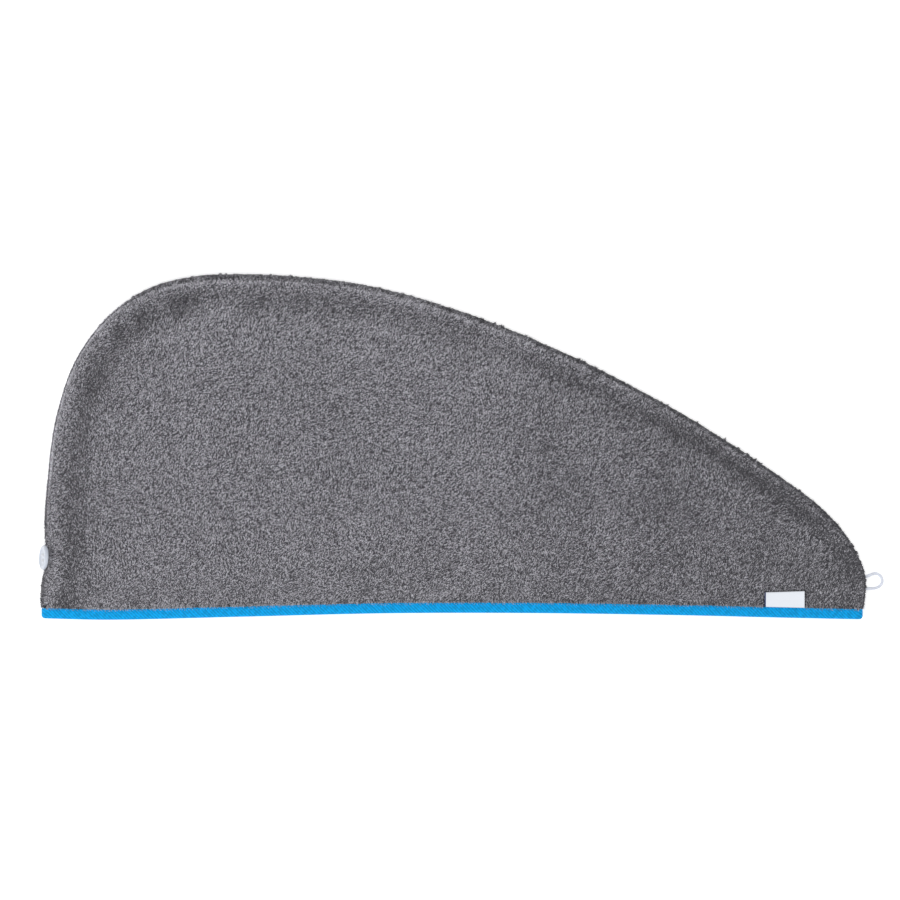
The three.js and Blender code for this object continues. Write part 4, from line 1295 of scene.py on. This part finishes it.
class TOWEL_OT_binding(bpy.types.Operator):
    """Fold the tape once round the mouth and stitch it"""

    bl_idname = "towel.binding"
    bl_label = "Binding tape"

    def execute(self, context):
        scene = context.scene
        hood = Hood(scene)
        tape = scene.towel_tape
        half = tape.thick / 2
        left = hood.mouth[0, 0] + hood.turn_radius + half
        right = hood.mouth[-1, 0] - hood.turn_radius - half
        x = np.linspace(left, right, 420)
        turns = np.linspace(0, math.pi, 16)[1:-1]
        low = [(v, hood.lower_run, 0.0) for v in x]
        r, mid = hood.turn_radius, hood.corner_mid
        far = [(right + r * math.sin(a), mid - r * math.cos(a), a) for a in turns]
        high = [(v, float(hood.upper_run(v)), math.pi) for v in x[::-1]]
        near = [(left - r * math.sin(a), mid + r * math.cos(a), math.pi + a) for a in turns]
        way = np.array(low + far + high + near)
        slot = half - tape.wall
        round_in = tape.wide * 0.32
        hem = [(tape.wide, half - 0.35), (tape.wide - 0.3, half - 0.08), (tape.wide * 0.75, half)]
        fold = [(round_in * (1 - math.sin(a)), half * math.cos(a)) for a in np.linspace(0, math.pi, 15)]
        inner = [(tape.wide, -slot), (tape.wall, -slot), (tape.wall, slot), (tape.wide, slot)]
        outline = np.array(hem + fold + [(deep, -high) for deep, high in hem[::-1]] + inner)
        run = run_along(way[:, :2])
        around = run_along(outline)
        rings = np.empty((len(way), len(outline), 3))
        for k, (px, pz, turn) in enumerate(way):
            wobble = 0.12 * noise.noise(Vector((run[k] * 0.06, 0, 2.0)))
            edge = 0.25 * noise.noise(Vector((run[k] * 0.05, 3.0, 0)))
            y = hood.mouth_y(px) + outline[:, 0] * (1 + edge / tape.wide * (outline[:, 0] > tape.wide * 0.7))
            side = outline[:, 1] * (1 + wobble / half)
            rings[k] = np.stack([px - side * math.sin(turn), y, pz + side * math.cos(turn)], 1)
        rings[:, :, 2] = np.maximum(rings[:, :, 2], 0.0)
        faces = [block[:, ::-1] for block in sweep(rings, True)]
        obj = new_mesh("binding_tape", hood.world(rings.reshape(-1, 3)), faces)
        n = len(outline)
        weave_map(obj, np.repeat(run, n) * MM, np.tile(around, len(way)) * MM)
        colour = scene.towel_colours.tape
        twill = weave_material("twill_tape", colour, pitch=tape.twill, depth=0.35, roughness=0.75)
        obj.data.materials.append(twill)
        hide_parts("edge_binding")
        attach(obj, "root")
        stitches = self.stitches(hood, tape, left, right)
        return {"FINISHED"}

    def stitches(self, hood, tape, left, right):
        """One row of stitches along the inner edge of each run, as joined short threads."""
        r = tape.thread / 2
        pitch = tape.stitch + tape.stitch_gap
        count = int((right - left) / pitch)
        angle = np.linspace(0, 2 * math.pi, 6, endpoint=False)
        along = np.array([-0.5, -0.3, 0.3, 0.5]) * tape.stitch
        lift = np.array([-1.0, 0.3, 0.3, -1.0]) * r
        fat = np.array([0.6, 1.0, 1.0, 0.6]) * r
        points = []
        faces = []
        for k in range(count):
            x0 = left + (k + 0.5) * pitch
            high = float(hood.upper_run(x0)) + tape.thick / 2
            low = hood.lower_run - tape.thick / 2 + 0.15
            for level, sign in ((high, 1), (low, -1)):
                first = len(points)
                for u, up, f in zip(along, lift, fat):
                    y0 = float(hood.mouth_y(x0 + u)) + tape.wide - tape.hem
                    for a in angle:
                        z = level + sign * up + f * math.sin(a)
                        points.append((x0 + u, y0 + f * math.cos(a), max(z, 0.02)))
                rings = [quads_between(first + 6 * j, first + 6 * j + 6, 6) for j in range(3)]
                faces.append(np.vstack(rings)[:, ::-1])
                faces.append([list(range(first, first + 6))])
                faces.append([list(range(first + 23, first + 17, -1))])
        obj = new_mesh("binding_stitches", hood.world(points), faces)
        obj.data.materials.append(bpy.data.materials["twill_tape"])
        weave_map(obj, np.array(points)[:, 0] * MM, np.array(points)[:, 1] * MM)
        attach(obj, "root")
        return obj


def button_place(hood):
    """The middle of the button's back, its axis, and how far the thread reaches back to the seam."""
    s, b = hood.s, hood.button
    seam = hood.seam_at(b.along)
    point, normal, tangent = seam["point"][0], seam["normal"][0], seam["tangent"][0]
    half = float(hood.place(point[:1], point[1:])["mid"][0])
    lean_sin, lean_cos = math.sin(b.lean), math.cos(b.lean)
    norm = math.hypot(s.rim_width * lean_sin, half * lean_cos)
    out = s.rim_width - s.rim_width**2 * lean_sin / norm
    touch = half + half**2 * lean_cos / norm
    height = b.stand_off + b.across / 2 * lean_sin
    slide = (height - touch - b.shank * lean_cos) / lean_sin
    inwards = out + slide * lean_cos - b.shank * lean_sin
    origin = np.array([*(point + normal * inwards), height])
    axis = np.array([*(-normal * lean_sin), lean_cos])
    along = np.array([*tangent, 0.0])
    drop = b.stand_off
    while drop < b.across:
        spot = origin - axis * (drop + 0.1)
        inside = (spot[:2] - point) @ normal
        if math.hypot((inside - s.rim_width) / s.rim_width, (spot[2] - half) / half) < 1:
            break
        drop += 0.05
    return origin, np.stack([along, np.cross(axis, along), axis], 1), drop


class TOWEL_OT_button(bpy.types.Operator):
    """Turn the button, drill its holes and sew it on with thread"""

    bl_idname = "towel.button"
    bl_label = "Button and thread"

    def execute(self, context):
        scene = context.scene
        hood = Hood(scene)
        b, colours = hood.button, scene.towel_colours
        origin, turn, drop = button_place(hood)
        disc = self.disc(b, lambda points: hood.world(points @ turn.T + origin))
        disc.data.materials.append(button_material(colours))
        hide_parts("button")
        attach(disc, "root")
        points, faces = joined(self.strands(b, drop))
        thread = new_mesh("button_sewing", hood.world(points @ turn.T + origin), faces)
        thread.data.materials.append(thread_material(colours))
        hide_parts("button_thread")
        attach(thread, "root")
        return {"FINISHED"}

    def disc(self, b, place):
        """The turned disc with four holes cut through it."""
        r, t, face = b.across / 2, b.thick, b.thick - b.dish
        bowl = r - b.rim
        profile = [(0, 0), (r - 1.6, 0), (r - 1.1, 0.08)]
        for k in range(9):
            a = math.pi * (-0.5 + k / 8)
            profile.append((r - 0.9 + 0.9 * math.cos(a), t * 0.5 + (t * 0.5 - 0.05) * math.sin(a)))
        profile += [(r - 1.4, t), (bowl + 0.5, t - 0.08), (bowl + 0.1, t - 0.3), (bowl - 0.2, face + 0.15)]
        profile += [(bowl - 0.7, face + 0.03), (bowl - 1.5, face), (0, face)]
        sides = 96
        rings, first = [], []
        for radius, height in profile:
            first.append(sum(len(ring) for ring in rings))
            count = 1 if radius == 0 else sides
            a = np.linspace(0, 2 * math.pi, count, endpoint=False)
            rings.append(np.stack([radius * np.cos(a), radius * np.sin(a), np.full(count, height)], 1))
        faces = []
        for k in range(len(rings) - 1):
            i = np.arange(sides)
            j = (i + 1) % sides
            if len(rings[k]) == 1:
                faces.append(np.stack([np.zeros(sides, int), first[k + 1] + j, first[k + 1] + i], 1))
            elif len(rings[k + 1]) == 1:
                faces.append(np.stack([first[k] + i, first[k] + j, np.full(sides, first[k + 1])], 1))
            else:
                faces.append(quads_between(first[k], first[k + 1], sides)[:, ::-1])
        disc = new_mesh("button_disc", place(np.vstack(rings)), faces)
        half = b.pitch / 2
        for k, (x, y) in enumerate(((half, half), (-half, half), (-half, -half), (half, -half))):
            way = np.array([(x, y, -1.0), (x, y, 1.0), (x, y, t + 1.0)])
            points, faces = tube(way, b.hole / 2, 24)
            hole = new_mesh(f"hole_{k}", place(points), faces)
            cut = disc.modifiers.new("hole", "BOOLEAN")
            cut.operation = "DIFFERENCE"
            cut.solver = "EXACT"
            cut.object = hole
        settled = bpy.data.meshes.new_from_object(disc.evaluated_get(bpy.context.evaluated_depsgraph_get()))
        disc.modifiers.clear()
        disc.data = settled
        for k in range(4):
            bpy.data.objects.remove(bpy.data.objects[f"hole_{k}"])
        settled.shade_smooth()
        settled.set_sharp_from_angle(angle=math.radians(38))
        return disc

    def strands(self, b, drop):
        """Threads that come up one hole and go down the next, and the wound shank behind the button."""
        half, face, r = b.pitch / 2, b.thick - b.dish, b.strand / 2
        parts = []
        for side in (-1, 1):
            for shift in (-1, 0, 1):
                x = side * half + shift * b.strand * 0.9
                top = face + r * (1.9 if shift == 0 else 1.1)
                end = b.hole / 2 - b.strand * 0.7
                rows = [(x * 0.25, 0.4, -drop), (x * 0.4, half * 0.5, -drop * 0.5), (x, half, -b.stand_off)]
                rows += [(x, half, face * 0.5), (x, half - end * 0.1, face), (x, half - end - 0.3, top)]
                rows += [(x, 0, top + 0.12)]
                rows += [(px, -py, pz) for px, py, pz in rows[-2::-1]]
                parts.append(tube(curve_through(rows, 5), r, 8))
        turns = np.linspace(0, 1, 90)
        wound = (1.15 + 0.12 * np.sin(turns * 19)) * (1 - 0.15 * turns)
        angle = turns * 2 * math.pi * 5.5
        low = -drop + r
        coil = np.stack([wound * np.cos(angle), wound * np.sin(angle), mix(low, -b.stand_off - r, turns)], 1)
        parts.append(tube(coil, r, 8))
        return parts


class TOWEL_OT_label(bpy.types.Operator):
    """Fold the bare ribbon label and lay it on the pile"""

    bl_idname = "towel.label"
    bl_label = "Label"

    def execute(self, context):
        scene = context.scene
        hood = Hood(scene)
        label = scene.towel_label
        start = label.across * hood.s.long
        x = np.linspace(start, start + label.wide, 80)
        t = label.ribbon / 2
        top = label.fold - t
        rows = [(-0.018, label.fold * 0.62), (0.3, top), (0.65, top), (0.9, label.fold - t * 1.1)]
        rows += [(0.985, label.fold * 0.72), (1.0, label.fold * 0.5), (0.985, label.fold * 0.28)]
        rows += [(0.9, t * 1.1), (0.65, t), (0.3, t), (-0.018, t)]
        middle = curve_through([(share * label.high, rise) for share, rise in rows], 5)
        around = run_along(middle)
        ahead = unit(np.gradient(middle, axis=0))
        out = np.stack([ahead[:, 1], -ahead[:, 0]], 1)
        outline = np.vstack([middle - out * t, (middle + out * t)[::-1]])
        across = np.concatenate([around, around[::-1]])
        rings = np.empty((len(x), len(outline), 3))
        for k, px in enumerate(x):
            end = k / (len(x) - 1)
            tall = 1 - label.skew * (1 - end) / label.high
            y = hood.mouth_y(px) + hood.grip_end + outline[:, 0] * tall
            p = hood.place(np.full(len(y), px), y)
            p["gripped"] = np.zeros(len(y), bool)
            curl = 0.5 * (2 * end - 1) ** 6 + 0.12 * noise.noise(Vector((px * 0.25, 0, 7)))
            lift = outline[:, 1] + curl * smooth(outline[:, 0] / label.high * 1.4)
            rings[k] = np.stack([np.full(len(y), px), y, hood.front_outer(p) + label.clear + lift], 1)
        n = len(outline)
        last = (len(x) - 1) * n
        ends = []
        for j in range(n // 2 - 1):
            a, c = j, n - 1 - j
            ends.append([a, a + 1, c - 1, c])
            ends.append([last + a, last + c, last + c - 1, last + a + 1])
        faces = [block[:, ::-1] for block in sweep(rings, False)] + [ends]
        obj = new_mesh("label_ribbon", hood.world(rings.reshape(-1, 3)), faces)
        weave_map(obj, np.repeat(x - start, n) * MM, np.tile(across, len(x)) * MM)
        obj.data.materials.append(label_material(scene.towel_colours, label))
        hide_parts("label")
        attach(obj, "root")
        return {"FINISHED"}


class TOWEL_OT_loop(bpy.types.Operator):
    """Lay the elastic loop at the tail"""

    bl_idname = "towel.loop"
    bl_label = "Elastic loop"

    def execute(self, context):
        scene = context.scene
        hood = Hood(scene)
        loop = scene.towel_loop
        seam = hood.seam_at(loop.along)
        point, tangent, normal = seam["point"][0], seam["tangent"][0], seam["normal"][0]
        rest, high = loop.cord / 2, float(seam["half"][0])
        route = []
        for row in LOOP:
            out = loop.stand_off + row["out"] * loop.spread
            xy = point + tangent * row["along"] * loop.spread - normal * out
            if row["out"] <= 0 and row["along"] > 0:
                near = hood.seam_at(loop.along + row["along"] * loop.spread / hood.seam_length)
                xy = near["point"][0] - near["normal"][0] * out
            route.append((*xy, mix(rest, high, row["lift"])))
        way = curve_through(route, 16)
        run = run_along(way)
        ahead = unit(np.gradient(way, axis=0))
        side = unit(np.cross(ahead, [0, 0, 1.0]))
        over = np.cross(side, ahead)
        sides = 24
        angle = np.linspace(0, 2 * math.pi, sides, endpoint=False)
        rings = []
        for k in range(len(way)):
            twist = 2 * math.pi * run[k] / 2.2
            braid = np.abs(np.sin(3 * angle + twist)) + np.abs(np.sin(3 * angle - twist))
            r = (loop.cord / 2 * (0.96 + 0.035 * braid))[:, None]
            rings.append(way[k] + side[k] * np.cos(angle)[:, None] * r + over[k] * np.sin(angle)[:, None] * r)
        rings = np.array(rings)
        last = len(rings) * sides - 1
        ends = [[list(range(sides))], [list(range(last, last - sides, -1))]]
        obj = new_mesh("elastic_cord", hood.world(rings.reshape(-1, 3)), sweep(rings, False) + ends)
        weave_map(obj, np.repeat(run, sides) * MM, np.tile(angle * loop.cord / 2, len(way)) * MM)
        colour = scene.towel_colours.elastic
        woven = weave_material("elastic_braid", colour, pitch=0.8, depth=0.2, roughness=0.7, dark=0.86)
        obj.data.materials.append(woven)
        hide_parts("elastic_loop")
        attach(obj, "root")
        path = hood.world(way)
        return {"FINISHED"}


class TOWEL_OT_studio(bpy.types.Operator):
    """Place the floor, the lights and the camera"""

    bl_idname = "towel.studio"
    bl_label = "Studio"

    def execute(self, context):
        scene = context.scene
        studio = scene.towel_studio
        bpy.ops.mesh.primitive_plane_add(size=studio.floor, location=(0, 0, -0.0002))
        floor = context.object
        floor.name = "floor"
        floor.data.materials.append(floor_material(scene.towel_colours, studio.glow))
        for light in LIGHTS:
            name, place = light["name"], light["place"]
            data = bpy.data.lights.new(name, "AREA")
            data.energy = getattr(studio, name)
            data.size = light["size"]
            lamp = bpy.data.objects.new(name, data)
            lamp.location = place
            lamp.rotation_euler = (-Vector(place)).to_track_quat("-Z", "Y").to_euler()
            scene.collection.objects.link(lamp)
        world = bpy.data.worlds.new("studio")
        world.use_nodes = True
        background = world.node_tree.nodes["Background"]
        background.inputs["Color"].default_value = (1, 1, 1, 1)
        background.inputs["Strength"].default_value = studio.sky
        scene.world = world
        scene.view_settings.view_transform = "Standard"
        data = bpy.data.cameras.new("camera")
        data.sensor_width = 36.0
        data.lens = data.sensor_width * studio.height / studio.frame_width
        data.clip_end = 50.0
        camera = bpy.data.objects.new("camera", data)
        camera.location = (studio.shift_x, studio.shift_y, studio.height)
        scene.collection.objects.link(camera)
        scene.camera = camera
        return {"FINISHED"}


class TOWEL_PT_sidebar(bpy.types.Panel):
    """The steps that build the towel, in their order."""

    bl_idname = "TOWEL_PT_sidebar"
    bl_label = "Hair turban towel"
    bl_space_type = "VIEW_3D"
    bl_region_type = "UI"
    bl_category = "Towel"

    def draw(self, context):
        for step in STEPS:
            self.layout.operator(step.bl_idname)


STEPS = (
    TOWEL_OT_studio,
    TOWEL_OT_loop,
    TOWEL_OT_panels,
    TOWEL_OT_pile,
    TOWEL_OT_binding,
    TOWEL_OT_button,
    TOWEL_OT_label,
)

GROUPS = {
    "towel_hood": TowelHood,
    "towel_pile": TowelPile,
    "towel_tape": TowelTape,
    "towel_button": TowelButton,
    "towel_label": TowelLabel,
    "towel_loop": TowelLoop,
    "towel_colours": TowelColours,
    "towel_studio": TowelStudio,
}


def register():
    for name, group in GROUPS.items():
        bpy.utils.register_class(group)
        setattr(bpy.types.Scene, name, bpy.props.PointerProperty(type=group))
    for item in (*STEPS, TOWEL_PT_sidebar):
        bpy.utils.register_class(item)


def unregister():
    for item in reversed((*STEPS, TOWEL_PT_sidebar)):
        bpy.utils.unregister_class(item)
    for name, group in reversed(GROUPS.items()):
        delattr(bpy.types.Scene, name)
        bpy.utils.unregister_class(group)


def main():
    register()
    bpy.ops.towel.studio()
    bpy.ops.towel.loop()
    bpy.ops.towel.panels()
    bpy.ops.towel.pile()
    bpy.ops.towel.binding()
    bpy.ops.towel.button()
    bpy.ops.towel.label()


if __name__ == "__main__":
    main()
